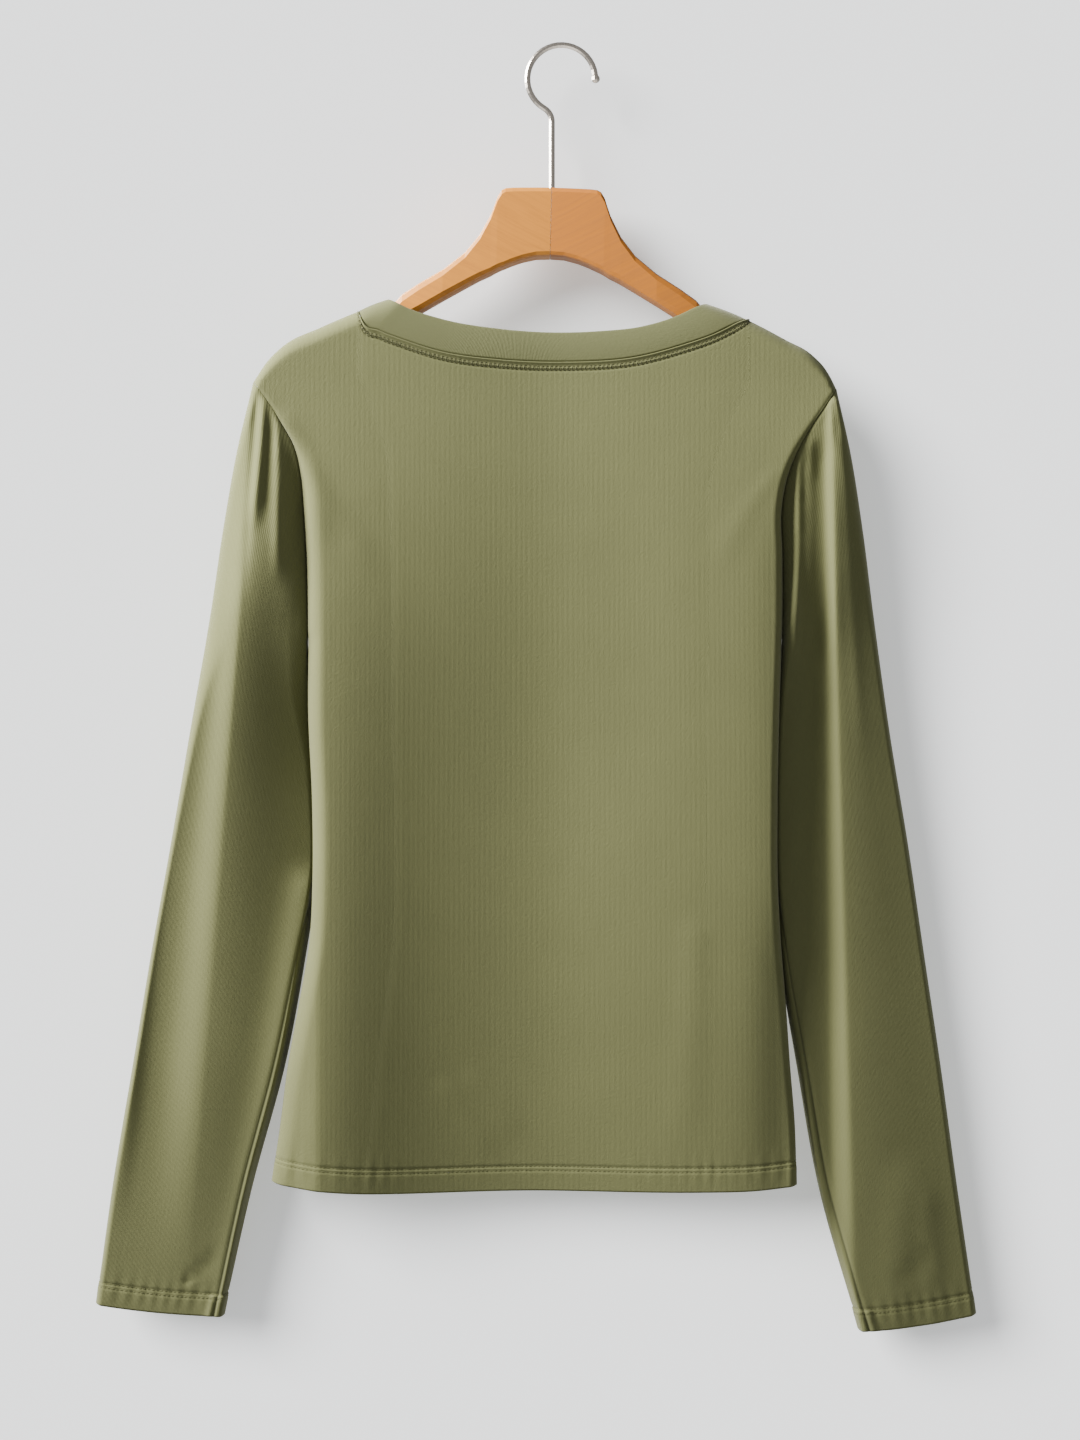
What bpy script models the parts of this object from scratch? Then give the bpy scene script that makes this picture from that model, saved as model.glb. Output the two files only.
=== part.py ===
"""A long sleeve jersey top hung on a contoured wooden hanger with a wire hook.

Metres, +Z up. The origin is the inside of the hook's top, where a rail carries it. -Y is the
side that faces the viewer, which is the back of the garment, and +X is to its right.
Heights are negative, because everything hangs below the rail.
"""
import math
from collections import namedtuple

import bmesh
import bpy
import numpy as np
from mathutils import Vector

# Cloth and seams
CLOTH = 0.0012
BAND_CLOTH = 0.0019
SEAM_GAP = 0.0003
NECK_GAP = 0.0006
ARMHOLE_GAP = 0.0005
ARMHOLE_GAP_REACH = 0.05

# Torso: outline, depth and how it falls from the ridge of the shoulders
ARM_SWEEP = 0.06
SWEEP_LEFT_AT_HEM = 0.35
NECK_SPREAD = 0.02
RIDGE_ROUND = 0.012
SIDE_ROUND = 0.015
UNDERARM_Z = -0.383
TIP_LEFT_Z = -0.2189
TIP_RIGHT_Z = -0.2235
HEM_Z = -0.7413

# Neck: where the seam and the band's free edge meet the shoulder ridge
NECK_SEAM_LEFT_X = -0.1315
NECK_SEAM_RIGHT_X = 0.1212
BAND_EDGE_LEFT_X = -0.1128
BAND_EDGE_RIGHT_X = 0.0941
FRONT_SEAM_DROP = 0.103
FRONT_EDGE_DROP = 0.0925
BAND_LEAN = 0.90
BAND_ROUND = 0.008
SCOOP_SQUARENESS = 2.2
SCOOP_FULLNESS = 0.8

# Small steps that find a surface's slope, what counts as touching, and a shoulder's settling
PROBE = 0.0004
TURN_PROBE = 0.01
TOUCH = 0.000001
SMALLEST = 1e-15
SETTLING_STEPS = 12

# Mesh counts, and how much closer the rows and columns lie near the shoulders
SHOULDER_COLUMNS = 7
NECK_COLUMNS = 16
PANEL_ROWS = 20
SLEEVE_BACK_COLUMNS = 30
SLEEVE_FRONT_COLUMNS = 18
SLEEVE_ROWS = 21
BAND_ROWS = 3
SHOULDER_CROWDING = 1.8
PANEL_CROWDING = 1.8
SLEEVE_CROWDING = 1.15
SHARP_ANGLE = math.radians(50.0)

# Hanger
HANGER_JOINT_X = -0.0064
HANGER_TOP_Z = -0.092
HANGER_TILT = math.radians(1.2)
LARGEST_CORNER = 0.95
HOOK_WIRE = 0.00195
HOOK_RADIUS = 0.0221
HOOK_BEND_RADIUS = 0.010
HOOK_STEM_X = -0.0062
HOOK_TIP_ANGLE = math.radians(7.0)
HOOK_STEM_STEPS = 3
HOOK_BEND_STEPS = 6
HOOK_TURN_STEPS = 26

TorsoSection = namedtuple("TorsoSection", "z left right half_depth")
TORSO_SECTIONS = (
    TorsoSection(-0.2189, -0.1988, 0.1800, 0.0150),
    TorsoSection(-0.2300, -0.1900, 0.1725, 0.0152),
    TorsoSection(-0.2450, -0.1805, 0.1623, 0.0156),
    TorsoSection(-0.2600, -0.1722, 0.1535, 0.0160),
    TorsoSection(-0.2800, -0.1677, 0.1455, 0.0166),
    TorsoSection(-0.3000, -0.1662, 0.1420, 0.0171),
    TorsoSection(-0.3300, -0.1645, 0.1425, 0.0176),
    TorsoSection(-0.3830, -0.1637, 0.1425, 0.0178),
    TorsoSection(-0.4300, -0.1640, 0.1411, 0.0172),
    TorsoSection(-0.4900, -0.1615, 0.1400, 0.0165),
    TorsoSection(-0.5400, -0.1613, 0.1402, 0.0162),
    TorsoSection(-0.5800, -0.1633, 0.1422, 0.0160),
    TorsoSection(-0.6200, -0.1700, 0.1455, 0.0158),
    TorsoSection(-0.6600, -0.1773, 0.1483, 0.0156),
    TorsoSection(-0.7000, -0.1825, 0.1515, 0.0154),
    TorsoSection(-0.7413, -0.1885, 0.1525, 0.0152),
)

RidgePoint = namedtuple("RidgePoint", "x z")
SHOULDER_RIDGE = (
    RidgePoint(-0.1988, -0.2189),
    RidgePoint(-0.1900, -0.2055),
    RidgePoint(-0.1800, -0.1955),
    RidgePoint(-0.1560, -0.1832),
    RidgePoint(-0.1303, -0.1720),
    RidgePoint(-0.1128, -0.1648),
    RidgePoint(-0.0104, -0.1600),
    RidgePoint(0.0941, -0.1676),
    RidgePoint(0.1206, -0.1782),
    RidgePoint(0.1445, -0.1909),
    RidgePoint(0.1620, -0.2012),
    RidgePoint(0.1710, -0.2112),
    RidgePoint(0.1800, -0.2290),
)

NeckPoint = namedtuple("NeckPoint", "x z")
BACK_NECK_SEAM = (
    NeckPoint(-0.1315, -0.1725),
    NeckPoint(-0.1290, -0.1788),
    NeckPoint(-0.1170, -0.1867),
    NeckPoint(-0.1041, -0.1916),
    NeckPoint(-0.0784, -0.1996),
    NeckPoint(-0.0397, -0.2047),
    NeckPoint(-0.0010, -0.2061),
    NeckPoint(0.0518, -0.2025),
    NeckPoint(0.0783, -0.1955),
    NeckPoint(0.0976, -0.1890),
    NeckPoint(0.1156, -0.1806),
    NeckPoint(0.1212, -0.1785),
)
BACK_BAND_EDGE = (
    NeckPoint(-0.1128, -0.1648),
    NeckPoint(-0.1044, -0.1698),
    NeckPoint(-0.0786, -0.1788),
    NeckPoint(-0.0398, -0.1853),
    NeckPoint(-0.0010, -0.1875),
    NeckPoint(0.0249, -0.1866),
    NeckPoint(0.0520, -0.1837),
    NeckPoint(0.0734, -0.1775),
    NeckPoint(0.0941, -0.1676),
)

HemPoint = namedtuple("HemPoint", "x z")
HEM_EDGE = (
    HemPoint(-0.1885, -0.7349),
    HemPoint(-0.1684, -0.7375),
    HemPoint(-0.1427, -0.7400),
    HemPoint(-0.0139, -0.7413),
    HemPoint(0.0891, -0.7413),
    HemPoint(0.1277, -0.7400),
    HemPoint(0.1525, -0.7375),
)

# How far the armhole seam stays out at the torso's face, from the tip to the underarm
ArmholeDepth = namedtuple("ArmholeDepth", "share depth")
ARMHOLE_DEPTHS = (
    ArmholeDepth(0.00, 1.00),
    ArmholeDepth(0.14, 0.98),
    ArmholeDepth(0.24, 0.84),
    ArmholeDepth(0.34, 0.60),
    ArmholeDepth(0.46, 0.38),
    ArmholeDepth(0.65, 0.26),
    ArmholeDepth(0.85, 0.22),
    ArmholeDepth(0.94, 0.20),
    ArmholeDepth(0.98, 0.17),
    ArmholeDepth(1.00, 0.00),
)

# A sleeve's two edges as the viewer sees them, by share of its length
SleeveSection = namedtuple("SleeveSection", "share outer_x outer_z inner_x inner_z half_depth middle")
SLEEVE_LEFT_SECTIONS = (
    SleeveSection(0.00, -0.1988, -0.2189, -0.1637, -0.3830, 0.0150, -0.0080),
    SleeveSection(0.07, -0.2097, -0.2618, -0.1650, -0.3890, 0.0165, -0.0066),
    SleeveSection(0.15, -0.2190, -0.3100, -0.1648, -0.4050, 0.0172, -0.0024),
    SleeveSection(0.25, -0.2280, -0.3670, -0.1636, -0.4330, 0.0166, 0.0036),
    SleeveSection(0.38, -0.2412, -0.4440, -0.1610, -0.4780, 0.0155, 0.0062),
    SleeveSection(0.50, -0.2535, -0.5160, -0.1606, -0.5360, 0.0140, 0.0066),
    SleeveSection(0.62, -0.2665, -0.5880, -0.1672, -0.5930, 0.0126, 0.0062),
    SleeveSection(0.74, -0.2785, -0.6600, -0.1800, -0.6610, 0.0116, 0.0058),
    SleeveSection(0.87, -0.2915, -0.7370, -0.2015, -0.7410, 0.0106, 0.0054),
    SleeveSection(1.00, -0.3024, -0.8150, -0.2201, -0.8238, 0.0098, 0.0050),
)
SLEEVE_RIGHT_SECTIONS = (
    SleeveSection(0.00, 0.1770, -0.2235, 0.1425, -0.3830, 0.0150, -0.0080),
    SleeveSection(0.07, 0.1868, -0.2640, 0.1438, -0.3890, 0.0165, -0.0066),
    SleeveSection(0.15, 0.1952, -0.3110, 0.1433, -0.4050, 0.0172, -0.0024),
    SleeveSection(0.25, 0.2032, -0.3680, 0.1408, -0.4330, 0.0166, 0.0036),
    SleeveSection(0.38, 0.2143, -0.4460, 0.1394, -0.4780, 0.0155, 0.0062),
    SleeveSection(0.50, 0.2262, -0.5180, 0.1392, -0.5360, 0.0140, 0.0068),
    SleeveSection(0.62, 0.2368, -0.5900, 0.1430, -0.5980, 0.0126, 0.0070),
    SleeveSection(0.74, 0.2474, -0.6620, 0.1536, -0.6640, 0.0116, 0.0060),
    SleeveSection(0.87, 0.2580, -0.7400, 0.1684, -0.7450, 0.0106, 0.0054),
    SleeveSection(1.00, 0.2700, -0.8225, 0.1935, -0.8323, 0.0098, 0.0050),
)
SEAM_START = 0.35
FOLD_START = 0.014
SEAM_REACH = 0.30
SECTION_BLUNTNESS = 0.40
FOLD_EDGE = 2.5
CUFF_SAG = 0.0016
CUFF_SAG_START = 8

# A fold is a soft ridge (height above 0) or trough along a line that bows sideways
Fold = namedtuple("Fold", "x0 z0 x1 z1 bow width0 width1 height")
BACK_FOLDS = (
    Fold(-0.085, -0.360, -0.106, -0.740, -0.010, 0.020, 0.042, -0.0042),
    Fold(0.150, -0.520, 0.110, -0.760, -0.006, 0.018, 0.034, -0.0030),
    Fold(0.110, -0.300, 0.112, -0.480, 0.000, 0.016, 0.018, 0.0012),
    Fold(-0.060, -0.450, 0.060, -0.720, 0.010, 0.024, 0.034, 0.0014),
    Fold(-0.186, -0.236, -0.150, -0.330, 0.006, 0.008, 0.010, 0.0012),
)
FRONT_FOLDS = (
    Fold(0.070, -0.380, 0.100, -0.740, 0.008, 0.022, 0.040, -0.0038),
    Fold(-0.120, -0.420, -0.085, -0.740, -0.006, 0.020, 0.034, -0.0030),
    Fold(-0.010, -0.300, 0.010, -0.560, 0.000, 0.024, 0.030, -0.0016),
)
SLEEVE_LEFT_BACK_FOLDS = (
    Fold(-0.2010, -0.226, -0.2560, -0.760, -0.002, 0.0050, 0.0160, 0.0034),
    Fold(-0.1945, -0.228, -0.2020, -0.390, 0.001, 0.0036, 0.0060, 0.0030),
    Fold(-0.1842, -0.236, -0.1885, -0.440, 0.003, 0.0038, 0.0090, 0.0036),
    Fold(-0.1990, -0.234, -0.2052, -0.345, 0.001, 0.0030, 0.0042, -0.0020),
    Fold(-0.1888, -0.230, -0.1935, -0.370, -0.001, 0.0032, 0.0050, -0.0034),
    Fold(-0.1782, -0.248, -0.1780, -0.480, 0.004, 0.0042, 0.0080, -0.0055),
    Fold(-0.2090, -0.520, -0.2240, -0.720, 0.000, 0.0090, 0.0120, -0.0030),
)
SLEEVE_RIGHT_BACK_FOLDS = (
    Fold(0.1722, -0.228, 0.1822, -0.740, -0.001, 0.0036, 0.0100, 0.0044),
    Fold(0.1792, -0.236, 0.1850, -0.370, 0.000, 0.0034, 0.0050, 0.0020),
    Fold(0.1538, -0.262, 0.1510, -0.390, 0.003, 0.0044, 0.0060, 0.0030),
    Fold(0.1640, -0.240, 0.1668, -0.262, 0.000, 0.0026, 0.0026, 0.0014),
    Fold(0.1655, -0.258, 0.1690, -0.600, -0.002, 0.0046, 0.0080, -0.0036),
    Fold(0.1760, -0.240, 0.1790, -0.340, 0.000, 0.0026, 0.0036, -0.0016),
    Fold(0.1465, -0.320, 0.1475, -0.570, 0.000, 0.0050, 0.0070, -0.0045),
    Fold(0.2100, -0.560, 0.2200, -0.760, 0.000, 0.0100, 0.0140, -0.0024),
)
SLEEVE_LEFT_FRONT_FOLDS = (
    Fold(-0.1990, -0.228, -0.2480, -0.700, 0.000, 0.0060, 0.0150, 0.0030),
    Fold(-0.1890, -0.236, -0.1990, -0.420, 0.001, 0.0044, 0.0080, 0.0030),
    Fold(-0.1780, -0.250, -0.1810, -0.440, 0.002, 0.0050, 0.0090, 0.0026),
    Fold(-0.1840, -0.240, -0.1900, -0.400, 0.001, 0.0036, 0.0060, -0.0026),
)
SLEEVE_RIGHT_FRONT_FOLDS = (
    Fold(0.1770, -0.236, 0.2200, -0.700, 0.000, 0.0060, 0.0150, 0.0030),
    Fold(0.1680, -0.242, 0.1760, -0.420, 0.001, 0.0044, 0.0080, 0.0030),
    Fold(0.1560, -0.262, 0.1600, -0.440, 0.002, 0.0050, 0.0090, 0.0026),
    Fold(0.1620, -0.250, 0.1680, -0.400, 0.001, 0.0036, 0.0060, -0.0026),
)

# A half of the hanger, by distance from its middle joint; heights are below the joint's top
ArmSection = namedtuple("ArmSection", "offset top bottom half_depth corner")
ARM_SECTIONS = (
    ArmSection(0.0000, 0.0000, -0.0446, 0.0100, 0.0030),
    ArmSection(0.0090, -0.0002, -0.0451, 0.0100, 0.0030),
    ArmSection(0.0180, -0.0005, -0.0474, 0.0100, 0.0030),
    ArmSection(0.0250, -0.0008, -0.0500, 0.0100, 0.0030),
    ArmSection(0.0295, -0.0013, -0.0521, 0.0100, 0.0030),
    ArmSection(0.0320, -0.0026, -0.0532, 0.0100, 0.0032),
    ArmSection(0.0345, -0.0066, -0.0545, 0.0100, 0.0034),
    ArmSection(0.0385, -0.0180, -0.0570, 0.0099, 0.0036),
    ArmSection(0.0455, -0.0315, -0.0605, 0.0098, 0.0040),
    ArmSection(0.0550, -0.0434, -0.0661, 0.0096, 0.0044),
    ArmSection(0.0690, -0.0547, -0.0745, 0.0094, 0.0048),
    ArmSection(0.0845, -0.0641, -0.0842, 0.0084, 0.0052),
    ArmSection(0.0950, -0.0712, -0.0905, 0.0076, 0.0056),
    ArmSection(0.1000, -0.0768, -0.0934, 0.0072, 0.0058),
    ArmSection(0.1060, -0.0811, -0.0968, 0.0070, 0.0060),
    ArmSection(0.1216, -0.0866, -0.1036, 0.0070, 0.0062),
    ArmSection(0.1344, -0.0908, -0.1088, 0.0075, 0.0066),
    ArmSection(0.1472, -0.0968, -0.1145, 0.0075, 0.0066),
    ArmSection(0.1599, -0.1038, -0.1210, 0.0074, 0.0064),
    ArmSection(0.1700, -0.1100, -0.1262, 0.0068, 0.0060),
    ArmSection(0.1780, -0.1182, -0.1300, 0.0054, 0.0048),
    ArmSection(0.1820, -0.1232, -0.1296, 0.0030, 0.0026),
)

# The ball on the hook's free end: how far past the wire's end, and how many wire radii wide
BallPoint = namedtuple("BallPoint", "distance radius")
BALL_POINTS = (
    BallPoint(0.0004, 0.95),
    BallPoint(0.0010, 1.20),
    BallPoint(0.0020, 1.40),
    BallPoint(0.0033, 1.40),
    BallPoint(0.0043, 1.15),
    BallPoint(0.0050, 0.75),
    BallPoint(0.0053, 0.40),
)

Finish = namedtuple("Finish", "red green blue roughness metallic")
JERSEY = Finish(0.235, 0.235, 0.122, 0.90, 0.0)
BEECH = Finish(0.610, 0.330, 0.140, 0.42, 0.0)
NICKEL = Finish(0.560, 0.550, 0.530, 0.22, 1.0)


def read(table, column, at):
    """The value of a table's column at a place on its first column, on a smooth curve."""
    keys = np.array([row[0] for row in table], dtype=float)
    values = np.array([getattr(row, column) for row in table], dtype=float)
    if keys[0] > keys[-1]:
        keys, values = keys[::-1], values[::-1]
    slopes = np.gradient(values, keys)
    at = np.clip(np.asarray(at, dtype=float), keys[0], keys[-1])
    low = np.clip(np.searchsorted(keys, at) - 1, 0, len(keys) - 2)
    span = keys[low + 1] - keys[low]
    t = (at - keys[low]) / span
    rise = (2 * t**3 - 3 * t**2 + 1) * values[low] + (3 * t**2 - 2 * t**3) * values[low + 1]
    bend = (t**3 - 2 * t**2 + t) * slopes[low] + (t**3 - t**2) * slopes[low + 1]
    return rise + bend * span


def smooth_step(t):
    """0 to 1 with level ends."""
    t = np.clip(t, 0.0, 1.0)
    return t * t * (3.0 - 2.0 * t)


def quarter_round(t):
    """0 to 1 along a quarter of an ellipse, steep at its start."""
    t = np.clip(t, 0.0, 1.0)
    return np.sqrt(1.0 - (1.0 - t) ** 2)


def fold_heights(folds, x, z):
    """How far the folds lift the cloth at points of the outline plane."""
    lift = np.zeros(np.broadcast(x, z).shape)
    for fold in folds:
        along_x, along_z = fold.x1 - fold.x0, fold.z1 - fold.z0
        length = math.hypot(along_x, along_z)
        share = ((x - fold.x0) * along_x + (z - fold.z0) * along_z) / length**2
        aside = ((x - fold.x0) * -along_z + (z - fold.z0) * along_x) / length
        inside = np.clip(share, 0.0, 1.0)
        aside = aside - fold.bow * 4.0 * inside * (1.0 - inside)
        width = fold.width0 + (fold.width1 - fold.width0) * inside
        ends = smooth_step(share * length / (2.0 * fold.width0)) * smooth_step((1.0 - share) * 3.0)
        lift = lift + fold.height * np.exp(-((aside / width) ** 2)) * ends
    return lift


def middle_y(x, z):
    """The plane halfway between back and front, which follows the swept arms of the hanger."""
    reach = np.sqrt((x - HANGER_JOINT_X) ** 2 + NECK_SPREAD**2)
    fall = smooth_step((np.asarray(z) - TIP_LEFT_Z) / (HEM_Z - TIP_LEFT_Z))
    return -ARM_SWEEP * reach * (1.0 - (1.0 - SWEEP_LEFT_AT_HEM) * fall)


def tip_z(across):
    """Height of the shoulder tip on the side that a place across the torso is nearer to."""
    return np.where(across < 0.5, TIP_LEFT_Z, TIP_RIGHT_Z)


def torso_x(across, z):
    """Place across the torso, from 0 at its left edge to 1 at its right edge."""
    left = read(TORSO_SECTIONS, "left", z)
    right = read(TORSO_SECTIONS, "right", z)
    return left + (right - left) * across


def torso_point(across, z, face):
    """A point of the torso's outer surface; face is -1 on the back and 1 on the front."""
    across, z = np.broadcast_arrays(np.asarray(across, dtype=float), np.asarray(z, dtype=float))
    left = read(TORSO_SECTIONS, "left", z)
    right = read(TORSO_SECTIONS, "right", z)
    x = left + (right - left) * across
    below_ridge = (read(SHOULDER_RIDGE, "z", x) - z) / RIDGE_ROUND
    depth = read(TORSO_SECTIONS, "half_depth", z) * quarter_round(below_ridge)
    tip = tip_z(across)
    edge = read(ARMHOLE_DEPTHS, "depth", (tip - z) / (tip - UNDERARM_Z))
    from_edge = np.minimum(x - left, right - x) / SIDE_ROUND
    rounding = quarter_round(from_edge)
    depth = depth * (edge + (1.0 - edge) * rounding)
    folds = BACK_FOLDS if face < 0 else FRONT_FOLDS
    depth = depth + fold_heights(folds, x, z) * rounding * smooth_step(below_ridge - 1.0)
    return np.stack([x, middle_y(x, z) + face * depth, z], axis=-1)


def front_neck_z(x, left_x, right_x, drop):
    """The scooped front neckline between two places on the shoulder ridge."""
    left_z = read(SHOULDER_RIDGE, "z", left_x)
    right_z = read(SHOULDER_RIDGE, "z", right_x)
    share = np.clip((x - left_x) / (right_x - left_x), 0.0, 1.0)
    scoop = (1.0 - np.abs(2.0 * share - 1.0) ** SCOOP_SQUARENESS) ** SCOOP_FULLNESS
    return left_z + (right_z - left_z) * share - drop * scoop


def neck_seam_z(x, face):
    """Height of the neck seam at a place across the neck."""
    if face < 0:
        return read(BACK_NECK_SEAM, "z", x)
    return front_neck_z(x, NECK_SEAM_LEFT_X, NECK_SEAM_RIGHT_X, FRONT_SEAM_DROP)


def band_edge_z(x, face):
    """Height of the band's free edge at a place across the neck."""
    if face < 0:
        return read(BACK_BAND_EDGE, "z", x)
    return front_neck_z(x, BAND_EDGE_LEFT_X, BAND_EDGE_RIGHT_X, FRONT_EDGE_DROP)


def outward(along, down, points, inside):
    """Unit normals from two tangents at each point, turned away from a place inside."""
    normals = np.cross(along, down)
    normals /= np.maximum(np.linalg.norm(normals, axis=-1, keepdims=True), SMALLEST)
    if np.sum(normals * (points - inside)) < 0.0:
        normals = -normals
    return normals


def grid_faces(rows, columns, start, closed):
    """Triangles between neighbouring rows and columns of a grid of points."""
    last = columns if closed else columns - 1
    for row in range(rows - 1):
        for column in range(last):
            beside = (column + 1) % columns
            here, there = start + row * columns + column, start + row * columns + beside
            yield (here, there, there + columns)
            yield (here, there + columns, here + columns)


def rim_faces(path, start):
    """Quads between the outer and the inner points along an open edge."""
    for here, there in zip(path, path[1:]):
        yield (here, there, start + there, start + here)


def material(name, finish):
    """A plain Principled material."""
    made = bpy.data.materials.new(name)
    made.use_nodes = True
    shader = made.node_tree.nodes["Principled BSDF"]
    shader.inputs["Base Color"].default_value = (finish.red, finish.green, finish.blue, 1.0)
    shader.inputs["Roughness"].default_value = finish.roughness
    shader.inputs["Metallic"].default_value = finish.metallic
    made.diffuse_color = (finish.red, finish.green, finish.blue, 1.0)
    return made


def mesh_object(name, points, faces, finish):
    """A closed mesh with its faces pointing out, as a named object."""
    shape = bmesh.new()
    vertices = [shape.verts.new(Vector(point)) for point in points]
    for face in faces:
        shape.faces.new([vertices[index] for index in face])
    bmesh.ops.recalc_face_normals(shape, faces=shape.faces)
    mesh = bpy.data.meshes.new(name)
    shape.to_mesh(mesh)
    shape.free()
    mesh.shade_smooth()
    mesh.set_sharp_from_angle(angle=SHARP_ANGLE)
    mesh.materials.append(material(name, finish))
    made = bpy.data.objects.new(name, mesh)
    bpy.context.scene.collection.objects.link(made)
    return made


def cloth_wall(name, outer, inner, closed):
    """A wall of cloth between an outer and an inner grid of points, closed at its rims."""
    rows, columns, _ = outer.shape
    count = rows * columns
    faces = list(grid_faces(rows, columns, 0, closed))
    faces += [face[::-1] for face in grid_faces(rows, columns, count, closed)]
    top = list(range(columns))
    bottom = [(rows - 1) * columns + column for column in range(columns)]
    rims = [top, bottom]
    if closed:
        rims = [top + top[:1], bottom + bottom[:1]]
    else:
        rims.append([row * columns for row in range(rows)])
        rims.append([row * columns + columns - 1 for row in range(rows)])
    for rim in rims:
        faces += list(rim_faces(rim, count))
    points = np.concatenate([outer.reshape(-1, 3), inner.reshape(-1, 3)])
    return mesh_object(name, points.tolist(), faces, JERSEY)


def neck_columns():
    """Places along X of the neck seam's points, close together near the shoulders."""
    share = (1.0 - np.cos(np.pi * np.arange(NECK_COLUMNS + 1) / NECK_COLUMNS)) / 2.0
    return NECK_SEAM_LEFT_X + (NECK_SEAM_RIGHT_X - NECK_SEAM_LEFT_X) * share


def panel_top(face):
    """Each column's place across the torso and the height of its top."""
    neck_x = neck_columns()
    neck_z = neck_seam_z(neck_x, face)
    neck_z[[0, -1]] = read(SHOULDER_RIDGE, "z", neck_x[[0, -1]])
    left = read(TORSO_SECTIONS, "left", neck_z)
    right = read(TORSO_SECTIONS, "right", neck_z)
    neck = (neck_x - left) / (right - left)
    shoulder = (np.arange(SHOULDER_COLUMNS) / SHOULDER_COLUMNS) ** SHOULDER_CROWDING
    across = np.concatenate([shoulder * neck[0], neck, 1.0 - shoulder[::-1] * (1.0 - neck[-1])])
    z = read(SHOULDER_RIDGE, "z", torso_x(across, TIP_LEFT_Z))
    for _ in range(SETTLING_STEPS):
        z = (z + read(SHOULDER_RIDGE, "z", torso_x(across, z))) / 2.0
    z[SHOULDER_COLUMNS + 1:-SHOULDER_COLUMNS - 1] = neck_z[1:-1]
    return across, z


def panel_grids(face):
    """Outer and inner points of the back or the front, from shoulders and neck to hem."""
    across, top = panel_top(face)
    hem = read(HEM_EDGE, "z", torso_x(across, HEM_Z))
    share = (np.arange(PANEL_ROWS + 1) / PANEL_ROWS) ** PANEL_CROWDING
    z = top[None, :] + (hem - top)[None, :] * share[:, None]
    across = np.broadcast_to(across, z.shape)
    outer = torso_point(across, z, face)
    middle = middle_y(outer[..., 0], z) + face * SEAM_GAP / 2
    parting = face * outer[..., 1] < face * middle + TOUCH
    outer[..., 1] = np.where(parting, middle, outer[..., 1])
    along = torso_point(np.minimum(across + PROBE, 1.0), z, face)
    along = along - torso_point(np.maximum(across - PROBE, 0.0), z, face)
    down = torso_point(across, z - PROBE, face) - torso_point(across, z + PROBE, face)
    normals = outward(along, down, outer, outer.mean(axis=(0, 1)) * np.array([1.0, 0.0, 1.0]))
    normals[parting, 1] = 0.0
    normals /= np.linalg.norm(normals, axis=2, keepdims=True)
    inner = outer - normals * CLOTH
    inner[..., 1] = face * np.maximum(face * inner[..., 1], face * middle)
    return outer, inner


def sleeve_point(sections, seam, folds, down, share, face):
    """A point of a sleeve; down runs from armhole to cuff, share from outer to inner edge."""
    side = -1.0 if seam[0, 0] < 0.0 else 1.0
    seam_share = share * (SEAM_START + (1.0 - SEAM_START) * share)
    seam_z = seam[0, 2] + (seam[-1, 2] - seam[0, 2]) * seam_share
    seam_x = np.interp(-seam_z, -seam[:, 2], seam[:, 0])
    seam_y = np.interp(-seam_z, -seam[:, 2], seam[:, 1])
    outer_x, outer_z = read(sections, "outer_x", down), read(sections, "outer_z", down)
    inner_x, inner_z = read(sections, "inner_x", down), read(sections, "inner_z", down)
    near_seam = np.clip(1.0 - down / SEAM_REACH, 0.0, 1.0) ** 3
    first = sections[0]
    x = outer_x + (inner_x - outer_x) * share
    z = outer_z + (inner_z - outer_z) * share
    x = x + near_seam * (seam_x - first.outer_x - (first.inner_x - first.outer_x) * share)
    z = z + near_seam * (seam_z - first.outer_z - (first.inner_z - first.outer_z) * share)
    belly = 4.0 * share * (1.0 - share)
    z = z - CUFF_SAG * belly * down**CUFF_SAG_START
    section = np.clip(belly, 0.0, 1.0) ** SECTION_BLUNTNESS
    y = read(sections, "middle", down) + face * read(sections, "half_depth", down) * section
    y = y + near_seam * (seam_y - first.middle - face * first.half_depth * section)
    started = 1.0 - np.exp(-down / FOLD_START)
    y = y + face * fold_heights(folds, x, z) * started * smooth_step(belly * FOLD_EDGE)
    x = x + side * ARMHOLE_GAP * np.exp(-down / ARMHOLE_GAP_REACH)
    return np.stack([x, y, z], axis=-1)


def armhole_seam(panel, side):
    """The panel's edge from the shoulder tip to the underarm, which the sleeve's top follows."""
    edge = panel[:, 0] if side < 0 else panel[:, -1]
    middle = middle_y(edge[0, 0], edge[0, 2])
    tip = np.array([edge[0, 0], middle, edge[0, 2]])
    underarm_x = np.interp(-UNDERARM_Z, -edge[:, 2], edge[:, 0])
    underarm = np.array([underarm_x, middle_y(underarm_x, UNDERARM_Z), UNDERARM_Z])
    between = edge[1:][edge[1:, 2] > UNDERARM_Z + CLOTH]
    return np.concatenate([tip[None], between, underarm[None]])


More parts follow.
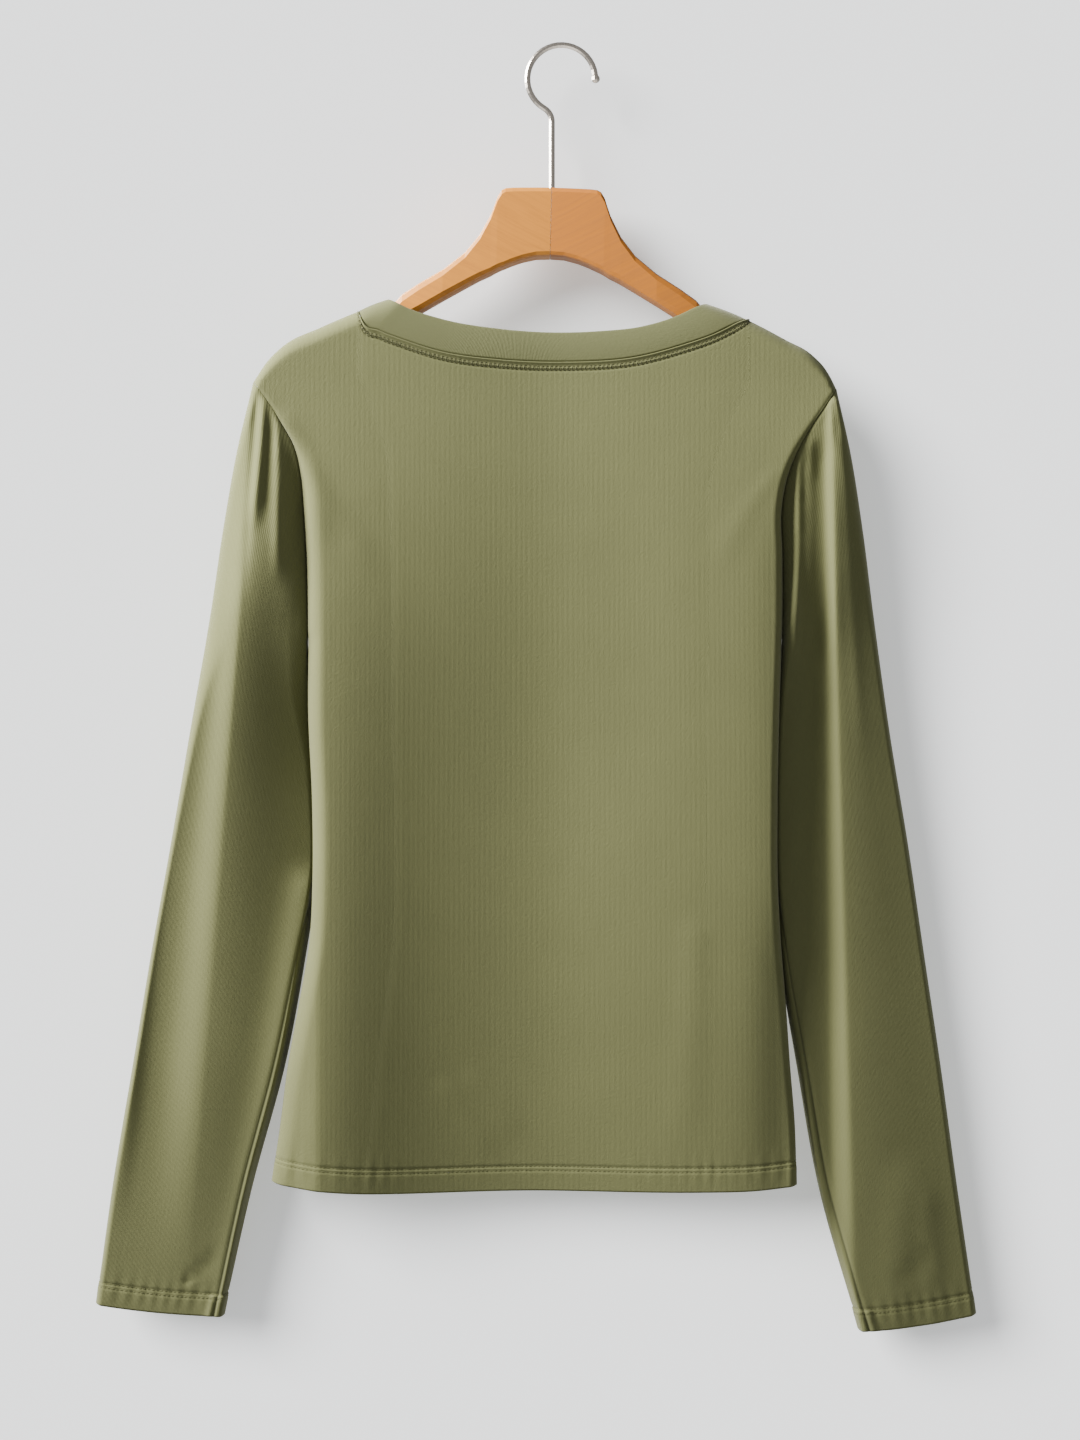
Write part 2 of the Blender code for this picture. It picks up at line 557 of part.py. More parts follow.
def build_sleeve(name, sections, side, panels, folds):
    """One sleeve: a closed tube from the armhole seam to the cuff."""
    down = (np.arange(SLEEVE_ROWS + 1) / SLEEVE_ROWS) ** SLEEVE_CROWDING
    outers, inners = [], []
    for face, count in ((-1, SLEEVE_BACK_COLUMNS), (1, SLEEVE_FRONT_COLUMNS)):
        seam = armhole_seam(panels[face], side)
        turn = np.pi * np.arange(count) / count
        if face > 0:
            turn = np.pi - turn
        down_grid, turn_grid = np.meshgrid(down, turn, indexing="ij")

        def surface(lower, turned):
            share = (1.0 - np.cos(turn_grid + turned)) / 2.0
            way = np.where(np.sin(turn_grid + turned) < 0.0, -face, face)
            shifted = np.clip(down_grid + lower, 0.0, 1.0)
            own = sleeve_point(sections, seam, folds[face], shifted, share, face)
            if not np.any(way != face):
                return own
            other_seam = armhole_seam(panels[-face], side)
            other = sleeve_point(sections, other_seam, folds[-face], shifted, share, -face)
            return np.where((way == face)[..., None], own, other)

        outer = surface(0.0, 0.0)
        along = surface(0.0, TURN_PROBE) - surface(0.0, -TURN_PROBE)
        lower = surface(PROBE, 0.0) - surface(-PROBE, 0.0)
        centres = outer.mean(axis=1, keepdims=True) * np.array([1.0, 0.0, 1.0])
        normals = outward(along, lower, outer, centres)
        normals[0, :, 0] = 0.0
        normals[0] /= np.linalg.norm(normals[0], axis=1, keepdims=True)
        outers.append(outer)
        inners.append(outer - normals * CLOTH)
    return cloth_wall(name, np.concatenate(outers, axis=1), np.concatenate(inners, axis=1), True)


def build_neckband(panels):
    """The band that stands up from the neck seam, a closed ring over both shoulders."""
    first, last = SHOULDER_COLUMNS, SHOULDER_COLUMNS + NECK_COLUMNS
    back = panels[-1][0, first:last + 1]
    front = panels[1][0, first:last + 1]
    ends = (back[[0, -1]] + front[[0, -1]]) / 2
    seam = np.concatenate([ends[:1], back[1:-1], ends[1:], front[-2:0:-1]])
    seam_share = (neck_columns() - NECK_SEAM_LEFT_X) / (NECK_SEAM_RIGHT_X - NECK_SEAM_LEFT_X)
    edge_x = BAND_EDGE_LEFT_X + (BAND_EDGE_RIGHT_X - BAND_EDGE_LEFT_X) * seam_share
    edges = []
    for face, x in ((-1, edge_x[:-1]), (1, edge_x[:0:-1])):
        z = band_edge_z(x, face)
        below_ridge = (read(SHOULDER_RIDGE, "z", x) - z) / BAND_ROUND
        depth = BAND_LEAN * TORSO_SECTIONS[0].half_depth * quarter_round(below_ridge)
        edges.append(np.stack([x, middle_y(x, z) + face * depth, z], axis=-1))
    edge = np.concatenate(edges)
    rise = edge - seam
    start = seam + rise / np.linalg.norm(rise, axis=1, keepdims=True) * NECK_GAP
    share = np.linspace(0.0, 1.0, BAND_ROWS + 1)[:, None, None]
    outer = start[None] + (edge - start)[None] * share
    along = np.roll(outer, -1, axis=1) - np.roll(outer, 1, axis=1)
    normals = outward(along, np.broadcast_to(rise, outer.shape), outer, outer.mean(axis=(0, 1)))
    return cloth_wall("neckband", outer, outer - normals * BAND_CLOTH, True)


def rounded_section(section, side):
    """Points round one upright section of a hanger arm, from its top front corner."""
    half_height = (section.top - section.bottom) / 2.0
    centre_z = (section.top + section.bottom) / 2.0
    corner = min(section.corner, half_height * LARGEST_CORNER)
    points = []
    for quarter in range(4):
        for step in range(3):
            angle = math.radians(90.0 * quarter + 45.0 * step)
            centre_y = (section.half_depth - corner) * (1.0 if quarter in (0, 3) else -1.0)
            middle_z = (half_height - corner) * (1.0 if quarter in (0, 1) else -1.0)
            y = centre_y + corner * math.cos(angle) - ARM_SWEEP * section.offset
            z = centre_z + middle_z + corner * math.sin(angle)
            points.append((side * (section.offset + SEAM_GAP / 2), y, z))
    return points


def build_arm(name, side, frame):
    """One wooden half of the hanger, lofted through its sections."""
    rings = [rounded_section(section, side) for section in ARM_SECTIONS]
    per_ring = len(rings[0])
    points = [point for ring in rings for point in ring]
    faces = list(grid_faces(len(rings), per_ring, 0, True))
    faces.append(tuple(range(per_ring)))
    faces.append(tuple(range(len(points) - per_ring, len(points))))
    arm = mesh_object(name, points, faces, BEECH)
    arm.parent = frame
    return arm


def hook_path():
    """Points of the hook's wire, from the wood up the stem and round to the free end."""
    centre_z = HOOK_WIRE - HOOK_RADIUS
    reach = HOOK_STEM_X - HOOK_BEND_RADIUS
    leave = math.pi + math.acos(-reach / (HOOK_RADIUS + HOOK_BEND_RADIUS))
    bend_x = (HOOK_RADIUS + HOOK_BEND_RADIUS) * math.cos(leave)
    bend_z = centre_z + (HOOK_RADIUS + HOOK_BEND_RADIUS) * math.sin(leave)
    foot_z = HANGER_TOP_Z + SEAM_GAP
    path = []
    for step in range(HOOK_STEM_STEPS):
        path.append((HOOK_STEM_X, foot_z + (bend_z - foot_z) * step / HOOK_STEM_STEPS))
    for step in range(HOOK_BEND_STEPS + 1):
        angle = (leave - math.pi) * step / HOOK_BEND_STEPS
        aside, up = HOOK_BEND_RADIUS * math.cos(angle), HOOK_BEND_RADIUS * math.sin(angle)
        path.append((bend_x + aside, bend_z + up))
    for step in range(1, HOOK_TURN_STEPS + 1):
        angle = leave + (HOOK_TIP_ANGLE - leave) * step / HOOK_TURN_STEPS
        path.append((HOOK_RADIUS * math.cos(angle), centre_z + HOOK_RADIUS * math.sin(angle)))
    return path


def build_hook():
    """The wire hook, with a ball on its free end made by the wire's own radius."""
    path = hook_path()
    end_x, end_z = path[-1]
    radii = [1.0] * len(path)
    for ball in BALL_POINTS:
        x = end_x + math.sin(HOOK_TIP_ANGLE) * ball.distance
        path.append((x, end_z - math.cos(HOOK_TIP_ANGLE) * ball.distance))
        radii.append(ball.radius)
    line = bpy.data.curves.new("hanger_hook", "CURVE")
    line.dimensions = "3D"
    line.bevel_depth = HOOK_WIRE
    line.bevel_resolution = 3
    line.use_fill_caps = True
    spline = line.splines.new("POLY")
    spline.points.add(len(path) - 1)
    for point, (x, z), radius in zip(spline.points, path, radii):
        point.co = (x, 0.0, z, 1.0)
        point.radius = radius
    line.materials.append(material("hanger_hook", NICKEL))
    hook = bpy.data.objects.new("hanger_hook", line)
    bpy.context.scene.collection.objects.link(hook)
    return hook


def build_hanger():
    """The tilted wooden hanger and its hook."""
    frame = bpy.data.objects.new("hanger_frame", None)
    frame.location = (HANGER_JOINT_X, 0.0, HANGER_TOP_Z)
    frame.rotation_euler = (0.0, HANGER_TILT, 0.0)
    bpy.context.scene.collection.objects.link(frame)
    build_arm("hanger_left", -1.0, frame)
    build_arm("hanger_right", 1.0, frame)
    build_hook()


def build_top():
    """The garment."""
    panels = {}
    for name, face in (("back_panel", -1), ("front_panel", 1)):
        outer, inner = panel_grids(face)
        cloth_wall(name, outer, inner, False)
        panels[face] = outer
    left_folds = {-1: SLEEVE_LEFT_BACK_FOLDS, 1: SLEEVE_LEFT_FRONT_FOLDS}
    right_folds = {-1: SLEEVE_RIGHT_BACK_FOLDS, 1: SLEEVE_RIGHT_FRONT_FOLDS}
    build_sleeve("sleeve_left", SLEEVE_LEFT_SECTIONS, -1, panels, left_folds)
    build_sleeve("sleeve_right", SLEEVE_RIGHT_SECTIONS, 1, panels, right_folds)
    build_neckband(panels)


def main():
    for old in list(bpy.data.objects):
        bpy.data.objects.remove(old, do_unlink=True)
    build_hanger()
    build_top()


main()
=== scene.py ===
"""The looks of a long sleeve jersey top on a wooden hanger: cloth, stitching, wood and wire.

Metres, +Z up. The origin is the inside of the hook's top. -Y is the side that the camera sees,
which is the back of the garment.
"""

import math
from collections import namedtuple

import bmesh
import bpy
import numpy as np
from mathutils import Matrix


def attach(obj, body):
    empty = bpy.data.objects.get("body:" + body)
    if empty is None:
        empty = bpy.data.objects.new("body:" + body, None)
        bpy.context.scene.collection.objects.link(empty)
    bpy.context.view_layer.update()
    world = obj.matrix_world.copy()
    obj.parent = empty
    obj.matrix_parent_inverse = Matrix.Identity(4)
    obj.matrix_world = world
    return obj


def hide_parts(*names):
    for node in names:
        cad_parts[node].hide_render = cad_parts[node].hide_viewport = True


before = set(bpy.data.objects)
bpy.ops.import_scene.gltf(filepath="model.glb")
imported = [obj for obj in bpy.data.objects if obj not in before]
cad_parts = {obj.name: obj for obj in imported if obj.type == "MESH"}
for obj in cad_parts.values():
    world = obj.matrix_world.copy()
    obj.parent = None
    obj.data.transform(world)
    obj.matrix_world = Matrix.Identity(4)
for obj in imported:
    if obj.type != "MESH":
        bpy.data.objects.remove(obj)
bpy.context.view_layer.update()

# Cloth and seams
CLOTH = 0.0012
HEM_CLOTH = 0.0019
BAND_CLOTH = 0.0019
SEAM_GAP = 0.0003
NECK_GAP = 0.0003
ARMHOLE_GAP = 0.0002
ARMHOLE_GAP_REACH = 0.05
FOLD_ROUND = 0.0006
RAW_ROUND = 0.0001

# Torso: outline, depth and how it falls from the ridge of the shoulders
ARM_SWEEP = 0.06
SWEEP_LEFT_AT_HEM = 0.35
NECK_SPREAD = 0.02
RIDGE_ROUND = 0.012
SIDE_ROUND_LEFT = 0.0115
SIDE_ROUND_RIGHT = 0.0055
UNDERARM_Z = -0.383
TIP_LEFT_Z = -0.2189
TIP_RIGHT_Z = -0.2235
HEM_Z = -0.7413
HANGER_JOINT_X = -0.0064

# Neck: where the seam and the band's free edge meet the shoulder ridge
NECK_SEAM_LEFT_X = -0.1315
NECK_SEAM_RIGHT_X = 0.1212
BAND_EDGE_LEFT_X = -0.1128
BAND_EDGE_RIGHT_X = 0.0941
FRONT_SEAM_DROP = 0.103
FRONT_EDGE_DROP = 0.0925
BAND_LEAN = 0.90
BAND_ROUND = 0.008
BAND_PUFF = 0.0006
BAND_JOIN = 0.004
SCOOP_SQUARENESS = 2.2
SCOOP_FULLNESS = 0.8

# Small steps that find a surface's slope, what counts as touching, and a shoulder's settling
PROBE = 0.0004
TURN_PROBE = 0.01
TOUCH = 0.000001
SMALLEST = 1e-15
SETTLING_STEPS = 12

# Mesh counts, and how much closer the columns lie near the armholes
SHOULDER_COLUMNS = 30
NECK_COLUMNS = 76
NECK_PART = slice(SHOULDER_COLUMNS + 1, -SHOULDER_COLUMNS - 1)
SHOULDER_CROWDING = 1.8
SLEEVE_COLUMNS = 172
BAND_ROWS = 14
BAND_FOLD_STEPS = 6
RowBand = namedtuple("RowBand", "start end rows")
PANEL_ROW_BANDS = (
    RowBand(0.000, 0.020, 22),
    RowBand(0.020, 0.080, 18),
    RowBand(0.080, 0.965, 106),
    RowBand(0.965, 1.000, 26),
)
SLEEVE_ROW_BANDS = (
    RowBand(0.000, 0.020, 14),
    RowBand(0.020, 0.200, 40),
    RowBand(0.200, 0.965, 78),
    RowBand(0.965, 1.000, 24),
)

# Sewing: widths of hems, the two stitch rows, how the cloth rises and sinks beside them, and thread
HEM_WIDTH = 0.0128
CUFF_WIDTH = 0.0118
ROW_PAIR_GAP = 0.0026
HEM_STEP = 0.00035
STITCH_SINK = 0.00040
STITCH_SINK_WIDTH = 0.0009
NECK_ROW_DROP = 0.0016
NECK_RIDGE = 0.0007
NECK_RIDGE_WIDTH = 0.0011
NECK_PLY = 0.0060
PUCKER = 0.00022
PUCKER_LENGTH = 0.0092
PUCKER_DRIFT = 2.0
PUCKER_DRIFT_LENGTH = 1.7
PUCKER_REACH = 0.008
SEAM_ROLL = 0.0006
SEAM_ROLL_WIDTH = 0.0016
UNDERARM_SINK = 0.0007
UNDERARM_SINK_WIDTH = 0.0015
UNDERARM_ONSET = 6.0
SEAM_ROLL_SPAN = 16.0
CUFF_SEAM_ASIDE = 0.0027
CUFF_SEAM_WIDTH = 0.0026
CUFF_SEAM_RISE = 0.0014
STITCH_LENGTH = 0.0020
STITCH_PITCH = 0.0028
STITCH_WIDTH = 0.00058
STITCH_LIFT = 0.00010
STITCH_WOBBLE = 0.06
STITCH_SMALLEST = 0.86
STITCH_LARGEST = 1.10
STITCH_SEED = 7
BEAD_SIDES = 6
BEAD_RINGS = 5
COVER_THREAD_WIDTH = STITCH_WIDTH * 0.7
HEM_THREAD_WIDTH = STITCH_WIDTH * 0.65
ZIGZAG_PITCH = 0.0014
ZIGZAG_SLANT = math.radians(58.0)

TorsoSection = namedtuple("TorsoSection", "z left right half_depth")
TORSO_SECTIONS = (
    TorsoSection(-0.2189, -0.1988, 0.1800, 0.0150),
    TorsoSection(-0.2300, -0.1900, 0.1725, 0.0152),
    TorsoSection(-0.2450, -0.1805, 0.1623, 0.0156),
    TorsoSection(-0.2600, -0.1722, 0.1535, 0.0160),
    TorsoSection(-0.2800, -0.1677, 0.1455, 0.0166),
    TorsoSection(-0.3000, -0.1662, 0.1420, 0.0171),
    TorsoSection(-0.3300, -0.1645, 0.1425, 0.0176),
    TorsoSection(-0.3830, -0.1637, 0.1425, 0.0178),
    TorsoSection(-0.4300, -0.1640, 0.1411, 0.0172),
    TorsoSection(-0.4900, -0.1615, 0.1400, 0.0165),
    TorsoSection(-0.5400, -0.1613, 0.1402, 0.0162),
    TorsoSection(-0.5800, -0.1633, 0.1422, 0.0160),
    TorsoSection(-0.6200, -0.1700, 0.1455, 0.0158),
    TorsoSection(-0.6600, -0.1773, 0.1483, 0.0156),
    TorsoSection(-0.7000, -0.1825, 0.1515, 0.0154),
    TorsoSection(-0.7413, -0.1885, 0.1525, 0.0152),
)

RidgePoint = namedtuple("RidgePoint", "x z")
SHOULDER_RIDGE = (
    RidgePoint(-0.1988, -0.2189),
    RidgePoint(-0.1900, -0.2055),
    RidgePoint(-0.1800, -0.1955),
    RidgePoint(-0.1560, -0.1832),
    RidgePoint(-0.1303, -0.1720),
    RidgePoint(-0.1128, -0.1648),
    RidgePoint(-0.0104, -0.1600),
    RidgePoint(0.0941, -0.1676),
    RidgePoint(0.1206, -0.1782),
    RidgePoint(0.1445, -0.1909),
    RidgePoint(0.1620, -0.2012),
    RidgePoint(0.1710, -0.2112),
    RidgePoint(0.1800, -0.2290),
)

NeckPoint = namedtuple("NeckPoint", "x z")
BACK_NECK_SEAM = (
    NeckPoint(-0.1315, -0.1725),
    NeckPoint(-0.1290, -0.1788),
    NeckPoint(-0.1170, -0.1867),
    NeckPoint(-0.1041, -0.1916),
    NeckPoint(-0.0784, -0.1996),
    NeckPoint(-0.0397, -0.2047),
    NeckPoint(-0.0010, -0.2061),
    NeckPoint(0.0518, -0.2025),
    NeckPoint(0.0783, -0.1955),
    NeckPoint(0.0976, -0.1890),
    NeckPoint(0.1156, -0.1806),
    NeckPoint(0.1212, -0.1785),
)
BACK_BAND_EDGE = (
    NeckPoint(-0.1128, -0.1648),
    NeckPoint(-0.1044, -0.1698),
    NeckPoint(-0.0786, -0.1788),
    NeckPoint(-0.0398, -0.1853),
    NeckPoint(-0.0010, -0.1875),
    NeckPoint(0.0249, -0.1866),
    NeckPoint(0.0520, -0.1837),
    NeckPoint(0.0734, -0.1775),
    NeckPoint(0.0941, -0.1676),
)

HemPoint = namedtuple("HemPoint", "x z")
HEM_EDGE = (
    HemPoint(-0.1885, -0.7349),
    HemPoint(-0.1684, -0.7375),
    HemPoint(-0.1427, -0.7400),
    HemPoint(-0.0139, -0.7413),
    HemPoint(0.0891, -0.7413),
    HemPoint(0.1277, -0.7400),
    HemPoint(0.1525, -0.7375),
)

# How far the armhole seam stays out at the torso's face, from the tip to the underarm
ArmholeDepth = namedtuple("ArmholeDepth", "share depth")
ARMHOLE_DEPTHS = (
    ArmholeDepth(0.00, 1.00),
    ArmholeDepth(0.14, 0.98),
    ArmholeDepth(0.24, 0.84),
    ArmholeDepth(0.34, 0.60),
    ArmholeDepth(0.46, 0.38),
    ArmholeDepth(0.65, 0.26),
    ArmholeDepth(0.85, 0.22),
    ArmholeDepth(0.94, 0.20),
    ArmholeDepth(0.98, 0.17),
    ArmholeDepth(1.00, 0.00),
)

# A sleeve's two edges as the viewer sees them, by share of its length
SleeveSection = namedtuple("SleeveSection", "share outer_x outer_z inner_x inner_z half_depth middle")
SLEEVE_LEFT_SECTIONS = (
    SleeveSection(0.00, -0.1988, -0.2189, -0.1637, -0.3830, 0.0150, -0.0080),
    SleeveSection(0.07, -0.2097, -0.2618, -0.1642, -0.3890, 0.0165, -0.0060),
    SleeveSection(0.15, -0.2190, -0.3100, -0.1632, -0.4050, 0.0172, -0.0006),
    SleeveSection(0.25, -0.2280, -0.3670, -0.1616, -0.4330, 0.0166, 0.0048),
    SleeveSection(0.38, -0.2412, -0.4440, -0.1592, -0.4780, 0.0155, 0.0066),
    SleeveSection(0.50, -0.2535, -0.5160, -0.1594, -0.5360, 0.0140, 0.0068),
    SleeveSection(0.62, -0.2665, -0.5880, -0.1672, -0.5930, 0.0126, 0.0062),
    SleeveSection(0.74, -0.2785, -0.6600, -0.1800, -0.6610, 0.0116, 0.0058),
    SleeveSection(0.87, -0.2915, -0.7370, -0.2015, -0.7410, 0.0106, 0.0054),
    SleeveSection(1.00, -0.3024, -0.8150, -0.2201, -0.8238, 0.0098, 0.0050),
)
SLEEVE_RIGHT_SECTIONS = (
    SleeveSection(0.00, 0.1770, -0.2235, 0.1425, -0.3830, 0.0150, -0.0080),
    SleeveSection(0.07, 0.1868, -0.2640, 0.1427, -0.3890, 0.0165, -0.0060),
    SleeveSection(0.15, 0.1952, -0.3110, 0.1412, -0.4050, 0.0172, -0.0006),
    SleeveSection(0.25, 0.2032, -0.3680, 0.1388, -0.4330, 0.0166, 0.0050),
    SleeveSection(0.38, 0.2143, -0.4460, 0.1376, -0.4780, 0.0155, 0.0070),
    SleeveSection(0.50, 0.2262, -0.5180, 0.1380, -0.5360, 0.0140, 0.0072),
    SleeveSection(0.62, 0.2368, -0.5900, 0.1430, -0.5980, 0.0126, 0.0070),
    SleeveSection(0.74, 0.2474, -0.6620, 0.1536, -0.6640, 0.0116, 0.0060),
    SleeveSection(0.87, 0.2580, -0.7400, 0.1684, -0.7450, 0.0106, 0.0054),
    SleeveSection(1.00, 0.2700, -0.8225, 0.1935, -0.8323, 0.0098, 0.0050),
)

# How wide each edge of a flattened sleeve is rounded, and how far the sleeve is turned about its
# own length, with the inner edge further from the viewer. lean takes depth from the inner side
# of the face that shows and gives it to the outer side
SleeveEdges = namedtuple("SleeveEdges", "share outer inner turned lean")
SLEEVE_LEFT_EDGES = (
    SleeveEdges(0.00, 0.0130, 0.0100, 0.00, 0.00),
    SleeveEdges(0.12, 0.0160, 0.0130, 0.03, 0.10),
    SleeveEdges(0.25, 0.0150, 0.0140, 0.07, 0.40),
    SleeveEdges(0.34, 0.0080, 0.0080, 0.08, 0.50),
    SleeveEdges(0.44, 0.0050, 0.0050, 0.07, 0.45),
    SleeveEdges(0.70, 0.0045, 0.0045, 0.05, 0.35),
    SleeveEdges(1.00, 0.0045, 0.0045, 0.03, 0.20),
)
SLEEVE_RIGHT_EDGES = (
    SleeveEdges(0.00, 0.0080, 0.0090, 0.00, 0.00),
    SleeveEdges(0.12, 0.0060, 0.0070, -0.02, 0.00),
    SleeveEdges(0.25, 0.0050, 0.0050, -0.04, 0.00),
    SleeveEdges(0.60, 0.0045, 0.0045, -0.05, 0.00),
    SleeveEdges(1.00, 0.0045, 0.0045, -0.05, 0.00),
)

# How a sleeve leaves the armhole seam, where its folds begin and end, and how its cuff sags
SEAM_START = 0.35
FOLD_START = 0.014
SEAM_REACH = 0.30
SEAM_FALL = 3
FOLD_EDGE = 6.0
CUFF_SAG = 0.0016
CUFF_SAG_START = 8

# A fold is a soft ridge (height above 0) or trough along a line that bows sideways. Its right side
# is wider than its left by the spread. It comes in over the onset, or over two widths if that is
# longer, and fades over the last third of its line
ONSET_WIDTHS = 2.0
FADES_IN_LAST = 3.0
Fold = namedtuple("Fold", "x0 z0 x1 z1 bow width0 width1 height spread onset", defaults=(1.0, 0.0))
BACK_FOLDS = (
    Fold(-0.1500, -0.2200, -0.1560, -1.1000, 0.000, 0.0150, 0.0210, 0.0105, 2.6, 0.50),
    Fold(-0.0200, -0.2000, -0.0200, -1.1000, 0.000, 0.0900, 0.0900, -0.0100, 1.0, 0.30),
    Fold(0.1450, -0.2600, 0.1500, -0.9500, 0.000, 0.0140, 0.0160, -0.0022, 1.0, 0.10),
    Fold(0.1650, -0.5200, 0.1500, -0.8000, -0.004, 0.0220, 0.0300, -0.0040, 1.0, 0.10),
    Fold(-0.186, -0.236, -0.150, -0.330, 0.006, 0.008, 0.010, 0.0012),
    Fold(-0.172, -0.268, -0.118, -0.352, 0.005, 0.004, 0.010, 0.0004),
    Fold(0.140, -0.276, 0.098, -0.346, -0.005, 0.004, 0.010, 0.0004),
    Fold(-0.082, -0.668, -0.040, -0.722, 0.002, 0.006, 0.009, 0.0005),
    Fold(-0.064, -0.662, -0.026, -0.712, 0.002, 0.005, 0.008, 0.0004),
    Fold(0.030, -0.250, 0.052, -0.520, 0.006, 0.026, 0.036, -0.0006),
    Fold(0.086, -0.560, 0.074, -0.735, 0.003, 0.009, 0.014, 0.0006),
)
FRONT_FOLDS = (
    Fold(0.070, -0.380, 0.100, -0.740, 0.008, 0.022, 0.040, -0.0038),
    Fold(-0.120, -0.420, -0.085, -0.740, -0.006, 0.020, 0.034, -0.0030),
    Fold(-0.010, -0.300, 0.010, -0.560, 0.000, 0.024, 0.030, -0.0016),
    Fold(-0.168, -0.272, -0.112, -0.352, 0.005, 0.004, 0.011, 0.0005),
    Fold(0.142, -0.276, 0.092, -0.352, -0.006, 0.004, 0.011, 0.0005),
    Fold(0.142, -0.420, 0.146, -0.690, 0.002, 0.007, 0.010, 0.0007),
    Fold(-0.034, -0.640, -0.072, -0.715, -0.002, 0.006, 0.010, 0.0006),
    Fold(0.020, -0.600, 0.034, -0.730, 0.003, 0.010, 0.014, -0.0006),
)
SLEEVE_LEFT_BACK_FOLDS = (
    Fold(-0.1951, -0.2498, -0.2429, -0.8367, 0.000, 0.0080, 0.0228, 0.0106, 2.9, 0.12),
    Fold(-0.2493, -0.4239, -0.2893, -0.7722, 0.000, 0.0050, 0.0060, 0.0024, 1.0, 0.08),
    Fold(-0.1893, -0.2278, -0.1990, -0.3207, 0.000, 0.0030, 0.0040, 0.0026),
    Fold(-0.1810, -0.2369, -0.1822, -0.3530, 0.000, 0.0028, 0.0045, 0.0022),
    Fold(-0.1868, -0.2317, -0.1906, -0.3207, 0.000, 0.0026, 0.0036, -0.0012),
    Fold(-0.1610, -0.5271, -0.2332, -0.9399, 0.003, 0.0110, 0.0150, 0.0046),
    Fold(-0.1706, -0.2498, -0.1687, -0.4175, 0.000, 0.0050, 0.0080, -0.0020),
    Fold(-0.1951, -0.2252, -0.2048, -0.3594, 0.000, 0.0022, 0.0032, -0.0014),
    Fold(-0.1975, -0.2235, -0.2030, -0.2520, 0.000, 0.0016, 0.0028, 0.0005),
    Fold(-0.1905, -0.2290, -0.1935, -0.2560, 0.000, 0.0016, 0.0028, 0.0005),
    Fold(-0.1812, -0.2420, -0.1822, -0.2760, 0.000, 0.0017, 0.0028, 0.0006),
    Fold(-0.1768, -0.2530, -0.1765, -0.2960, 0.000, 0.0017, 0.0028, 0.0006),
    Fold(-0.1725, -0.2720, -0.1735, -0.3150, 0.000, 0.0018, 0.0030, 0.0006),
    Fold(-0.2465, -0.8035, -0.2197, -0.7812, 0.000, 0.0022, 0.0036, -0.0008),
)
SLEEVE_RIGHT_BACK_FOLDS = (
    Fold(0.1725, -0.2272, 0.1951, -0.9399, 0.000, 0.0030, 0.0090, 0.0064, 7.0),
    Fold(0.1680, -0.2498, 0.1757, -0.9399, 0.000, 0.0110, 0.0170, -0.0030, 0.4),
    Fold(0.1512, -0.2601, 0.1480, -0.4175, 0.002, 0.0026, 0.0040, 0.0022),
    Fold(0.1790, -0.2465, 0.1951, -0.4755, 0.000, 0.0028, 0.0050, 0.0005),
    Fold(0.1648, -0.2562, 0.1654, -0.3852, 0.000, 0.0040, 0.0050, -0.0008),
    Fold(0.1706, -0.2369, 0.1719, -0.2756, 0.000, 0.0016, 0.0024, -0.0006),
    Fold(0.1790, -0.2300, 0.1838, -0.2620, 0.000, 0.0016, 0.0028, 0.0005),
    Fold(0.1745, -0.2330, 0.1762, -0.2620, 0.000, 0.0015, 0.0026, -0.0004),
    Fold(0.1600, -0.2540, 0.1602, -0.2850, 0.000, 0.0017, 0.0028, 0.0006),
    Fold(0.1560, -0.2680, 0.1553, -0.3020, 0.000, 0.0016, 0.0028, -0.0005),
    Fold(0.1515, -0.2860, 0.1508, -0.3220, 0.000, 0.0017, 0.0030, 0.0005),
    Fold(0.2260, -0.7142, 0.2054, -0.9399, 0.000, 0.0140, 0.0180, 0.0012),
    Fold(0.2364, -0.7335, 0.2473, -0.9270, 0.000, 0.0080, 0.0100, 0.0008),
    Fold(0.2420, -0.780, 0.2120, -0.806, 0.000, 0.0026, 0.0040, -0.0006),
)
SLEEVE_LEFT_FRONT_FOLDS = (
    Fold(-0.1990, -0.228, -0.2480, -0.700, 0.000, 0.0060, 0.0150, 0.0030),
    Fold(-0.1890, -0.236, -0.1990, -0.420, 0.001, 0.0044, 0.0080, 0.0030),
    Fold(-0.1780, -0.250, -0.1810, -0.440, 0.002, 0.0050, 0.0090, 0.0026),
    Fold(-0.1840, -0.240, -0.1900, -0.400, 0.001, 0.0036, 0.0060, -0.0026),
    Fold(-0.1940, -0.2260, -0.1985, -0.2560, 0.000, 0.0016, 0.0028, 0.0006),
    Fold(-0.1860, -0.2340, -0.1880, -0.2640, 0.000, 0.0016, 0.0028, -0.0006),
    Fold(-0.1735, -0.2680, -0.1745, -0.3120, 0.000, 0.0018, 0.0030, 0.0006),
    Fold(-0.2500, -0.600, -0.2660, -0.780, 0.002, 0.0070, 0.0100, 0.0008),
    Fold(-0.2050, -0.560, -0.2230, -0.720, 0.001, 0.0080, 0.0110, -0.0014),
)
